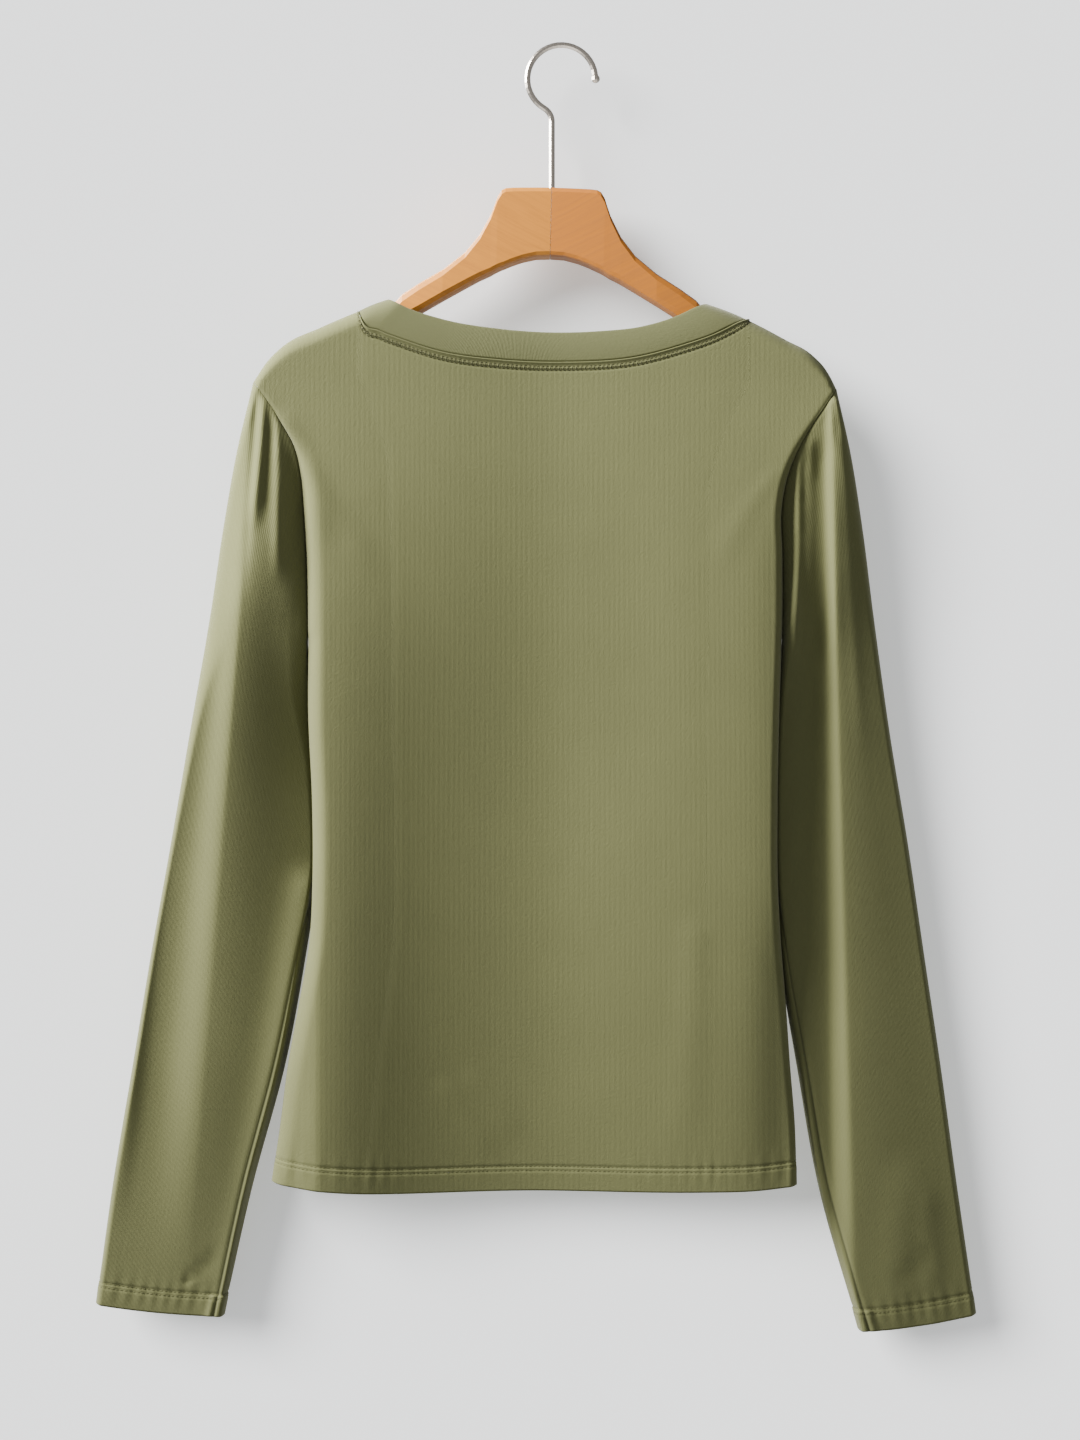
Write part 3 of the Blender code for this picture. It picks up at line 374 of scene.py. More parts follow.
SLEEVE_RIGHT_FRONT_FOLDS = (
    Fold(0.1770, -0.236, 0.2200, -0.700, 0.000, 0.0060, 0.0150, 0.0030),
    Fold(0.1680, -0.242, 0.1760, -0.420, 0.001, 0.0044, 0.0080, 0.0030),
    Fold(0.1560, -0.262, 0.1600, -0.440, 0.002, 0.0050, 0.0090, 0.0026),
    Fold(0.1620, -0.250, 0.1680, -0.400, 0.001, 0.0036, 0.0060, -0.0026),
    Fold(0.1740, -0.2320, 0.1780, -0.2620, 0.000, 0.0016, 0.0028, 0.0006),
    Fold(0.1650, -0.2420, 0.1660, -0.2720, 0.000, 0.0016, 0.0028, -0.0006),
    Fold(0.1520, -0.2780, 0.1515, -0.3180, 0.000, 0.0018, 0.0030, 0.0006),
    Fold(0.2280, -0.600, 0.2420, -0.780, 0.002, 0.0070, 0.0100, 0.0008),
    Fold(0.1860, -0.560, 0.2000, -0.720, 0.001, 0.0080, 0.0110, -0.0014),
)

# Where the underarm seam runs on the side that shows, as a distance from the inner edge
SeamPlace = namedtuple("SeamPlace", "share inside")
UNDERARM_SEAM = (
    SeamPlace(0.00, -0.0030),
    SeamPlace(0.45, -0.0030),
    SeamPlace(0.60, 0.0040),
    SeamPlace(0.75, 0.0062),
    SeamPlace(0.90, 0.0058),
    SeamPlace(1.00, 0.0056),
)

# A piece's size as cut, with what is turned in left out
FlatPiece = namedtuple("FlatPiece", "width length area")

# Colours, as linear light
JERSEY_COLOUR = (0.118, 0.121, 0.048, 1.0)
BAND_COLOUR = (0.098, 0.101, 0.041, 1.0)
NECK_THREAD_COLOUR = (0.056, 0.055, 0.022, 1.0)
HEM_THREAD_COLOUR = (0.096, 0.097, 0.038, 1.0)
# One beech in two copies: the left half's colour is painted lighter as lit, and the right half's painted
# darker as shade, as the light falls from the left
BEECH_LIT_LEFT = (0.560, 0.212, 0.024, 1.0)
BEECH_SHADED_RIGHT = (0.370, 0.124, 0.012, 1.0)
BEECH_DARK = (0.240, 0.085, 0.020, 1.0)
NICKEL_COLOUR = (0.470, 0.420, 0.360, 1.0)
WALL_COLOUR = (0.860, 0.870, 0.868, 1.0)
FLOOR_COLOUR = (0.820, 0.825, 0.820, 1.0)

# Knit: the size of its loops, and how much each pattern raises or shades the cloth
WALE_WIDTH = 0.0008
COURSE_BY_WALE = 0.8
LOOP_SKEW = 0.5
STREAK_STRETCH = (640.0, 26.0, 1.0)
SPECK_SCALE = 520.0
CLOUD_SCALE = 22.0
WALE_RISE = 0.45
LOOP_RISE = 0.12
STREAK_RISE = 0.45
SPECK_RISE = 1.1
SEAM_GROOVE = 1.5
KNIT_DEPTH = 0.00035
SHEEN_TINT = (0.80, 0.80, 0.62, 1.0)

# Seams: how much painted shade darkens the line along each one, and how wide the line is
PANEL_SEAM = {"Painted shade": 0.12, "Half width": 0.0008}
SLEEVE_SEAM = {"Painted shade": 0.42, "Half width": 0.0011}
BAND_SEAM = {"Painted shade": 0.30, "Half width": 0.0008}

# Wood: how the grain waves and stretches, where its flecks lie, and the varnish over it
GRAIN_SLOPE = math.radians(24.0)
GRAIN_WAVE = (0.05, 0.05, 0.014)
GRAIN_WAVE_SCALE = 9.0
GRAIN_STRETCH = (14.0, 160.0, 420.0)
FLECK_STRETCH = (260.0, 900.0, 1500.0)
GRAIN_DEPTH = 0.0003
VARNISH_ROUGHNESS = 0.38
GRAIN_ROUGHNESS = 0.16

# Fine patterns of the thread, the wire, the glue and the paint
TWIST_SCALE = 2400.0
TWIST_DEPTH = 0.0001
DRAWING_SCALE = 900.0
WIRE_ROUGHNESS = 0.20
DRAWING_ROUGHNESS = 0.16
GLUE_SCALE = 400.0
PAINT_SCALE = 3.0

# The glue line in the hanger's tilted middle joint, which lies a little below the wood's faces
HANGER_TOP_Z = -0.092
HANGER_TILT = math.radians(1.2)
GLUE_TOP = -0.0005
GLUE_BOTTOM = -0.0441
GLUE_HALF_DEPTH = 0.0095
GLUE_HALF_THICKNESS = 0.00013
GLUE_CORNER = 0.0028
GLUE_CORNER_STEPS = 4
GLUE_COLOUR = (0.110, 0.045, 0.014, 1.0)

# Camera and room
CAMERA_PLACE = (-0.0139, -1.9, -0.4368)
CAMERA_LENS = 73.08
CAMERA_SENSOR = 36.0
WALL_Y = 0.036
WALL_GLOW = 0.50
FLOOR_Z = -1.25
ROOM_SIZE = 4.0
LIT_PLACE = (0.0, 0.0, -0.45)
WINDOW_PLACE = (-1.12, -0.40, 0.46)
WINDOW_SIZE = (0.5, 0.6)
WINDOW_POWER = 131.0
BACK_WINDOW_PLACE = (-0.9, 1.3, 0.4)
BACK_WINDOW_SIZE = (0.8, 0.8)
BACK_WINDOW_POWER = 34.0
WALL_LIGHT_PLACE = (-0.9, -0.9, 0.15)
WALL_LIGHT_SOFTNESS = math.radians(34.0)
WALL_LIGHT_STRENGTH = 6.9
AIR_COLOUR = (0.95, 0.97, 1.0, 1.0)
AIR_STRENGTH = 0.44


def read(table, column, at):
    """The value of a table's column at a place on its first column, on a smooth curve."""
    keys = np.array([row[0] for row in table], dtype=float)
    values = np.array([getattr(row, column) for row in table], dtype=float)
    if keys[0] > keys[-1]:
        keys, values = keys[::-1], values[::-1]
    slopes = np.gradient(values, keys)
    at = np.clip(np.asarray(at, dtype=float), keys[0], keys[-1])
    low = np.clip(np.searchsorted(keys, at) - 1, 0, len(keys) - 2)
    span = keys[low + 1] - keys[low]
    t = (at - keys[low]) / span
    rise = (2 * t**3 - 3 * t**2 + 1) * values[low] + (3 * t**2 - 2 * t**3) * values[low + 1]
    bend = (t**3 - 2 * t**2 + t) * slopes[low] + (t**3 - t**2) * slopes[low + 1]
    return rise + bend * span


def smooth_step(t):
    """0 to 1 with level ends."""
    t = np.clip(t, 0.0, 1.0)
    return t * t * (3.0 - 2.0 * t)


def quarter_round(t):
    """0 to 1 along a quarter of an ellipse, steep at its start."""
    t = np.clip(t, 0.0, 1.0)
    return np.sqrt(1.0 - (1.0 - t) ** 2)


def bell(distance, width):
    """1 at no distance, falling softly to 0 over the width."""
    return np.exp(-((distance / width) ** 2))


def fold_heights(folds, x, z):
    """How far the folds lift the cloth at points of the outline plane."""
    lift = np.zeros(np.broadcast(x, z).shape)
    for fold in folds:
        along_x, along_z = fold.x1 - fold.x0, fold.z1 - fold.z0
        length = math.hypot(along_x, along_z)
        share = ((x - fold.x0) * along_x + (z - fold.z0) * along_z) / length**2
        aside = ((x - fold.x0) * -along_z + (z - fold.z0) * along_x) / length
        inside = np.clip(share, 0.0, 1.0)
        aside = aside - fold.bow * 4.0 * inside * (1.0 - inside)
        width = fold.width0 + (fold.width1 - fold.width0) * inside
        width = width * (1.0 + (fold.spread - 1.0) * smooth_step(aside / fold.width0 + 0.5))
        onset = max(fold.onset, ONSET_WIDTHS * fold.width0)
        ends = smooth_step(share * length / onset) * smooth_step((1.0 - share) * FADES_IN_LAST)
        lift = lift + fold.height * bell(aside, width) * ends
    return lift


def middle_y(x, z):
    """The plane halfway between back and front, which follows the swept arms of the hanger."""
    reach = np.sqrt((x - HANGER_JOINT_X) ** 2 + NECK_SPREAD**2)
    fall = smooth_step((np.asarray(z) - TIP_LEFT_Z) / (HEM_Z - TIP_LEFT_Z))
    return -ARM_SWEEP * reach * (1.0 - (1.0 - SWEEP_LEFT_AT_HEM) * fall)


def tip_z(across):
    """Height of the shoulder tip on the side that a place across the torso is nearer to."""
    return np.where(across < 0.5, TIP_LEFT_Z, TIP_RIGHT_Z)


def torso_edges(z):
    """The torso's left and right edges at a height."""
    return read(TORSO_SECTIONS, "left", z), read(TORSO_SECTIONS, "right", z)


def torso_x(across, z):
    """Place across the torso, from 0 at its left edge to 1 at its right edge."""
    left, right = torso_edges(z)
    return left + (right - left) * across


def torso_point(across, z, face):
    """A point of the torso's outer surface; face is -1 on the back and 1 on the front."""
    across, z = np.broadcast_arrays(np.asarray(across, dtype=float), np.asarray(z, dtype=float))
    left, right = torso_edges(z)
    x = left + (right - left) * across
    below_ridge = (read(SHOULDER_RIDGE, "z", x) - z) / RIDGE_ROUND
    depth = read(TORSO_SECTIONS, "half_depth", z) * quarter_round(below_ridge)
    tip = tip_z(across)
    edge = read(ARMHOLE_DEPTHS, "depth", (tip - z) / (tip - UNDERARM_Z))
    from_left, from_right = x - left, right - x
    from_edge = np.minimum(from_left, from_right)
    rounding = quarter_round(from_left / SIDE_ROUND_LEFT) * quarter_round(from_right / SIDE_ROUND_RIGHT)
    depth = depth * (edge + (1.0 - edge) * rounding)
    folds = BACK_FOLDS if face < 0 else FRONT_FOLDS
    depth = depth + fold_heights(folds, x, z) * rounding * smooth_step(below_ridge - 1.0)
    rolled = SEAM_ROLL * bell(from_edge, SEAM_ROLL_WIDTH) * edge * smooth_step(below_ridge)
    return np.stack([x, middle_y(x, z) + face * (depth - rolled), z], axis=-1)


def front_neck_z(x, left_x, right_x, drop):
    """The scooped front neckline between two places on the shoulder ridge."""
    left_z = read(SHOULDER_RIDGE, "z", left_x)
    right_z = read(SHOULDER_RIDGE, "z", right_x)
    share = np.clip((x - left_x) / (right_x - left_x), 0.0, 1.0)
    scoop = (1.0 - np.abs(2.0 * share - 1.0) ** SCOOP_SQUARENESS) ** SCOOP_FULLNESS
    return left_z + (right_z - left_z) * share - drop * scoop


def neck_seam_z(x, face):
    """Height of the neck seam at a place across the neck."""
    if face < 0:
        return read(BACK_NECK_SEAM, "z", x)
    return front_neck_z(x, NECK_SEAM_LEFT_X, NECK_SEAM_RIGHT_X, FRONT_SEAM_DROP)


def band_edge_z(x, face):
    """Height of the band's free edge at a place across the neck."""
    if face < 0:
        return read(BACK_BAND_EDGE, "z", x)
    return front_neck_z(x, BAND_EDGE_LEFT_X, BAND_EDGE_RIGHT_X, FRONT_EDGE_DROP)


def unit(vectors):
    """Vectors of length one."""
    return vectors / np.maximum(np.linalg.norm(vectors, axis=-1, keepdims=True), SMALLEST)


def outward(along, down, points, inside):
    """Unit normals from two tangents at each point, turned away from a place inside."""
    normals = unit(np.cross(along, down))
    if np.sum(normals * (points - inside)) < 0.0:
        normals = -normals
    return normals


def banded_shares(bands):
    """Shares of a length from 0 to 1, closer together in some bands of it."""
    shares = [np.linspace(band.start, band.end, band.rows, endpoint=False) for band in bands]
    return np.concatenate(shares + [np.array([1.0])])


def path_lengths(points):
    """Distance travelled down each column of a grid of points."""
    steps = np.linalg.norm(np.diff(points, axis=0), axis=-1)
    return np.concatenate([np.zeros((1,) + steps.shape[1:]), np.cumsum(steps, axis=0)])


def stitch_sink(from_row):
    """How deep two rows of stitches draw the cloth in, by the distance from the first of them."""
    sunk = bell(from_row, STITCH_SINK_WIDTH) + bell(from_row - ROW_PAIR_GAP, STITCH_SINK_WIDTH)
    return STITCH_SINK * sunk


def turned_in(from_hem, width):
    """1 where the cloth is turned in and lies double, and 0 above the hem."""
    return smooth_step((width + ROW_PAIR_GAP - from_hem) / STITCH_SINK_WIDTH)


def hem_relief(from_hem, along, width):
    """How a turned and twice stitched hem rises and sinks."""
    raised = HEM_STEP * smooth_step((width + ROW_PAIR_GAP - from_hem) / (2.0 * STITCH_SINK_WIDTH))
    drift = PUCKER_DRIFT * np.sin(along / (PUCKER_DRIFT_LENGTH * PUCKER_LENGTH))
    wave = np.sin(2.0 * np.pi * along / PUCKER_LENGTH + drift)
    puckers = PUCKER * wave * bell(from_hem - width, PUCKER_REACH)
    return raised - stitch_sink(from_hem - width) + puckers


def neck_relief(from_neck):
    """How the cloth rises over the turned down ply below the neck seam, and sinks at its stitches."""
    ridge = NECK_RIDGE * bell(from_neck, NECK_RIDGE_WIDTH)
    ply = HEM_STEP * smooth_step((NECK_PLY - from_neck) / NECK_ROW_DROP)
    return ridge + ply - stitch_sink(from_neck - NECK_ROW_DROP - NECK_RIDGE_WIDTH)


def grid_faces(rows, columns, closed):
    """Quads between neighbouring rows and columns, and the grid places of their corners."""
    last = columns if closed else columns - 1
    row, column = np.meshgrid(np.arange(rows - 1), np.arange(last), indexing="ij")
    row, column = row.ravel(), column.ravel()
    rows_of = np.stack([row, row, row + 1, row + 1], axis=1)
    columns_of = np.stack([column, column + 1, column + 1, column], axis=1)
    return rows_of * columns + columns_of % columns, rows_of, columns_of


def strip_faces(first, second):
    """Quads between two equally long rings of vertex numbers."""
    return np.stack([first, np.roll(first, -1), np.roll(second, -1), second], axis=1)


def in_scene(name, data):
    """A new object at the origin of the scene."""
    made = bpy.data.objects.new(name, data)
    bpy.context.scene.collection.objects.link(made)
    return made


def wrapped(grid):
    """A grid with its first column once more after its last, for a map that closes."""
    return np.concatenate([grid, grid[:, :1]], axis=1)


def plain_mesh(name, points, quads):
    """A mesh object from points and quads, smooth all over."""
    mesh = bpy.data.meshes.new(name)
    mesh.from_pydata(points.tolist(), [], quads.tolist())
    mesh.shade_smooth()
    return in_scene(name, mesh)


def fill_maps(mesh, weave, seams, row_at, column_at):
    """The two UV maps of the cloth, from the grid place of each corner."""
    for name, values in (("weave", weave), ("seams", seams)):
        layer = mesh.uv_layers.new(name=name)
        layer.data.foreach_set("uv", values[row_at, column_at].astype(np.float32).ravel())


def cloth_shell(name, outer, inner, round_by, weave, seams, closed):
    """A closed wall between two grids of points, with soft rims and two maps of the cloth.

    round_by is how far the rim swells at the top, the bottom and the sides. weave and seams have
    one more column than a closed grid, so that the maps don't tear where it closes.
    """
    rows, columns, _ = outer.shape
    count = rows * columns
    quads, rows_of, columns_of = grid_faces(rows, columns, closed)
    index = np.arange(count).reshape(rows, columns)
    if closed:
        rims = [(index[0], index[1], round_by[0]), (index[-1], index[-2], round_by[1])]
    else:
        path = np.concatenate([index[0], index[1:, -1], index[-1, -2::-1], index[-2:0:-1, 0]])
        beside = np.concatenate([index[1], index[1:, -2], index[-2, -2::-1], index[-2:0:-1, 1]])
        swell = np.concatenate([
            np.full(columns, round_by[0]),
            np.full(rows - 2, round_by[2]),
            np.full(columns, round_by[1]),
            np.full(rows - 2, round_by[2]),
        ])
        rims = [(path, beside, swell)]
    flat_outer, flat_inner = outer.reshape(-1, 3), inner.reshape(-1, 3)
    points = [flat_outer, flat_inner]
    faces = [quads, quads[:, ::-1] + count]
    places = [(rows_of, columns_of), (rows_of[:, ::-1], columns_of[:, ::-1])]
    start = 2 * count
    for path, beside, swell in rims:
        away = unit(flat_outer[path] - flat_outer[beside])
        middle = (flat_outer[path] + flat_inner[path]) / 2.0
        points.append(middle + away * np.reshape(swell, (-1, 1)))
        bulge = np.arange(len(path)) + start
        start += len(path)
        for first, second in ((path, bulge), (bulge, path + count)):
            faces.append(strip_faces(first, second))
            corner = strip_faces(path, path)
            column = corner % columns
            if closed:
                column[-1, 1:3] = columns
            places.append((corner // columns, column))
    made = plain_mesh(name, np.concatenate(points), np.concatenate(faces))
    row_at = np.concatenate([place[0] for place in places]).ravel()
    column_at = np.concatenate([place[1] for place in places]).ravel()
    fill_maps(made.data, weave, seams, row_at, column_at)
    settle_faces(made)
    return made


def settle_faces(obj):
    """Gives every face of a closed mesh the same side out, and then turns that side outward."""
    shape = bmesh.new()
    shape.from_mesh(obj.data)
    bmesh.ops.recalc_face_normals(shape, faces=shape.faces)
    shape.to_mesh(obj.data)
    shape.free()


def neck_columns():
    """Places along X of the neck seam's points, close together near the shoulders."""
    share = (1.0 - np.cos(np.pi * np.arange(NECK_COLUMNS + 1) / NECK_COLUMNS)) / 2.0
    return NECK_SEAM_LEFT_X + (NECK_SEAM_RIGHT_X - NECK_SEAM_LEFT_X) * share


def panel_top(face):
    """Each column's place across the torso and the height of its top."""
    neck_x = neck_columns()
    neck_z = neck_seam_z(neck_x, face)
    neck_z[[0, -1]] = read(SHOULDER_RIDGE, "z", neck_x[[0, -1]])
    left, right = torso_edges(neck_z)
    neck = (neck_x - left) / (right - left)
    shoulder = (np.arange(SHOULDER_COLUMNS) / SHOULDER_COLUMNS) ** SHOULDER_CROWDING
    across = np.concatenate([shoulder * neck[0], neck, 1.0 - shoulder[::-1] * (1.0 - neck[-1])])
    z = read(SHOULDER_RIDGE, "z", torso_x(across, TIP_LEFT_Z))
    for _ in range(SETTLING_STEPS):
        z = (z + read(SHOULDER_RIDGE, "z", torso_x(across, z))) / 2.0
    z[NECK_PART] = neck_z[1:-1]
    return across, z


def build_panel(name, face):
    """The back or the front of the top. Returns the object, its edge points and its stitch paths."""
    across, top = panel_top(face)
    hem = read(HEM_EDGE, "z", torso_x(across, HEM_Z))
    share = banded_shares(PANEL_ROW_BANDS)
    z = top[None, :] + (hem - top)[None, :] * share[:, None]
    across = np.broadcast_to(across, z.shape)
    outer = torso_point(across, z, face)
    middle = middle_y(outer[..., 0], z) + face * SEAM_GAP / 2
    parting = face * outer[..., 1] < face * middle + TOUCH
    outer[..., 1] = np.where(parting, middle, outer[..., 1])
    along = torso_point(np.minimum(across + PROBE, 1.0), z, face)
    along = along - torso_point(np.maximum(across - PROBE, 0.0), z, face)
    down = torso_point(across, z - PROBE, face) - torso_point(across, z + PROBE, face)
    normals = outward(along, down, outer, outer.mean(axis=(0, 1)) * np.array([1.0, 0.0, 1.0]))
    normals[parting, 1] = 0.0
    normals = unit(normals)
    travelled = path_lengths(outer)
    from_hem = travelled[-1] - travelled
    is_neck = np.zeros(z.shape[1])
    is_neck[NECK_PART] = 1.0
    relief = hem_relief(from_hem, outer[..., 0], HEM_WIDTH) + neck_relief(travelled) * is_neck
    edge = np.concatenate([outer[:, :1], outer[:, -1:]], axis=1)
    seam_row = outer[0].copy()
    wall = CLOTH + (HEM_CLOTH - CLOTH) * turned_in(from_hem, HEM_WIDTH)
    inner = outer - normals * wall[..., None]
    inner[..., 1] = face * np.maximum(face * inner[..., 1], face * middle)
    outer = outer + normals * (relief * (1.0 - parting))[..., None]
    weave = np.stack([outer[..., 0] + face, travelled], axis=-1)
    seams = np.stack([np.where(is_neck > 0.0, travelled, 1.0), from_hem], axis=-1)
    rims = (RAW_ROUND, FOLD_ROUND, RAW_ROUND)
    made = cloth_shell(name, outer, inner, rims, weave, seams, closed=False)
    lifted = outer + normals * STITCH_LIFT
    at_neck = (lifted[:, NECK_PART], travelled[:, NECK_PART])
    drop = NECK_RIDGE_WIDTH + NECK_ROW_DROP
    paths = {
        "hem": [level_path(lifted, from_hem, HEM_WIDTH + gap) for gap in (0.0, ROW_PAIR_GAP)],
        "neck": [level_path(*at_neck, drop + gap) for gap in (0.0, ROW_PAIR_GAP)],
        "neck_between": [level_path(*at_neck, drop + ROW_PAIR_GAP / 2)],
    }
    return made, edge, seam_row, paths


def level_path(points, distances, wanted):
    """The points, one in each column, that lie at a distance from an edge."""
    rising = distances[-1, 0] > distances[0, 0]
    found = []
    for column in range(points.shape[1]):
        at, line = distances[:, column], points[:, column]
        if not rising:
            at, line = at[::-1], line[::-1]
        found.append([np.interp(wanted, at, line[:, axis]) for axis in range(3)])
    return np.array(found)


def sleeve_point(sections, edges, seam, folds, down, share, face):
    """A point of a sleeve; down runs from armhole to cuff, share from outer to inner edge."""
    side = -1.0 if seam[0, 0] < 0.0 else 1.0
    seam_share = share * (SEAM_START + (1.0 - SEAM_START) * share)
    seam_z = seam[0, 2] + (seam[-1, 2] - seam[0, 2]) * seam_share
    seam_x = np.interp(-seam_z, -seam[:, 2], seam[:, 0])
    seam_y = np.interp(-seam_z, -seam[:, 2], seam[:, 1])
    outer_x, outer_z = read(sections, "outer_x", down), read(sections, "outer_z", down)
    inner_x, inner_z = read(sections, "inner_x", down), read(sections, "inner_z", down)
    near_seam = np.clip(1.0 - down / SEAM_REACH, 0.0, 1.0) ** SEAM_FALL
    first = sections[0]
    x = outer_x + (inner_x - outer_x) * share
    z = outer_z + (inner_z - outer_z) * share
    x = x + near_seam * (seam_x - first.outer_x - (first.inner_x - first.outer_x) * share)
    z = z + near_seam * (seam_z - first.outer_z - (first.inner_z - first.outer_z) * share)
    belly = 4.0 * share * (1.0 - share)
    z = z - CUFF_SAG * belly * down**CUFF_SAG_START
    width = np.abs(inner_x - outer_x)
    section = quarter_round(share * width / read(edges, "outer", down))
    section = section * quarter_round((1.0 - share) * width / read(edges, "inner", down))
    leaning = 1.0 - np.minimum(face, 0.0) * read(edges, "lean", down) * (1.0 - 2.0 * share)
    depth = read(sections, "half_depth", down) * section * leaning
    y = read(sections, "middle", down) + face * depth
    y = y + read(edges, "turned", down) * (share - 0.5) * width
    y = y + near_seam * (seam_y - first.middle - face * first.half_depth * section)
    started = 1.0 - np.exp(-down / FOLD_START)
    y = y + face * fold_heights(folds, x, z) * started * smooth_step(belly * FOLD_EDGE)
    x = x + side * ARMHOLE_GAP * np.exp(-down / ARMHOLE_GAP_REACH)
    return np.stack([x, y, z], axis=-1)


def armhole_seam(edge):
    """A panel's edge from the shoulder tip to the underarm, which the sleeve's top follows."""
    tip = np.array([edge[0, 0], middle_y(edge[0, 0], edge[0, 2]), edge[0, 2]])
    underarm_x = np.interp(-UNDERARM_Z, -edge[:, 2], edge[:, 0])
    underarm = np.array([underarm_x, middle_y(underarm_x, UNDERARM_Z), UNDERARM_Z])
    between = edge[1:][edge[1:, 2] > UNDERARM_Z + CLOTH]
    return np.concatenate([tip[None], between, underarm[None]])


def build_sleeve(name, sections, edges, seams_of, folds):
    """One sleeve, a closed tube from the armhole seam to the cuff, and its cuff's stitch paths."""
    down = banded_shares(SLEEVE_ROW_BANDS)
    turn = 2.0 * np.pi * np.arange(SLEEVE_COLUMNS) / SLEEVE_COLUMNS
    down_grid, turn_grid = np.meshgrid(down, turn, indexing="ij")

    def surface(lower, turned):
        turns = turn_grid + turned
        downs = np.clip(down_grid + lower, 0.0, 1.0)
        share = (1.0 - np.cos(turns)) / 2.0
        back = sleeve_point(sections, edges, seams_of[-1], folds[-1], downs, share, -1)
        front = sleeve_point(sections, edges, seams_of[1], folds[1], downs, share, 1)
        return np.where((np.sin(turns) >= 0.0)[..., None], back, front)

    outer = surface(0.0, 0.0)
    along = surface(0.0, TURN_PROBE) - surface(0.0, -TURN_PROBE)
    lower = surface(PROBE, 0.0) - surface(-PROBE, 0.0)
    centres = outer.mean(axis=1, keepdims=True)
    normals = outward(along, lower, outer, centres)
    normals[0, :, 0] = 0.0
    normals = unit(normals)
    travelled = path_lengths(outer)
    from_hem = travelled[-1] - travelled
    share = (1.0 - np.cos(turn_grid)) / 2.0
    width = read(sections, "inner_x", down_grid) - read(sections, "outer_x", down_grid)
    place = (share - 0.5) * width
    to_inner = np.abs(width) * (1.0 - share)
    shown = np.where(np.sin(turn_grid) >= 0.0, to_inner, -to_inner)
    from_seam = shown - read(UNDERARM_SEAM, "inside", down_grid)
    off_edges = smooth_step(share * (1.0 - share) * SEAM_ROLL_SPAN)
    below_armhole = smooth_step(down_grid * UNDERARM_ONSET)
    relief = hem_relief(from_hem, place, CUFF_WIDTH)
    relief = relief - SEAM_ROLL * bell(travelled, SEAM_ROLL_WIDTH) * off_edges
    relief = relief - UNDERARM_SINK * bell(from_seam, UNDERARM_SINK_WIDTH) * below_armhole
    doubled = turned_in(from_hem, CUFF_WIDTH)
    turned_seam = bell(np.abs(from_seam) - CUFF_SEAM_ASIDE, CUFF_SEAM_WIDTH)
    relief = relief + CUFF_SEAM_RISE * turned_seam * doubled
    wall = CLOTH + (HEM_CLOTH - CLOTH) * doubled
    inner = outer - normals * wall[..., None]
    outer = outer + normals * relief[..., None]
    half = np.where(np.sin(turn_grid) >= 0.0, 0.0, 1.0)
    weave = wrapped(np.stack([place * (1.0 - 2.0 * half) + half, travelled], axis=-1))
    seams = wrapped(np.stack([from_seam, from_hem], axis=-1))
    made = cloth_shell(name, outer, inner, (RAW_ROUND, FOLD_ROUND), weave, seams, closed=True)
    lifted = outer + normals * STITCH_LIFT
    return made, [level_path(lifted, from_hem, CUFF_WIDTH + gap) for gap in (0.0, ROW_PAIR_GAP)]


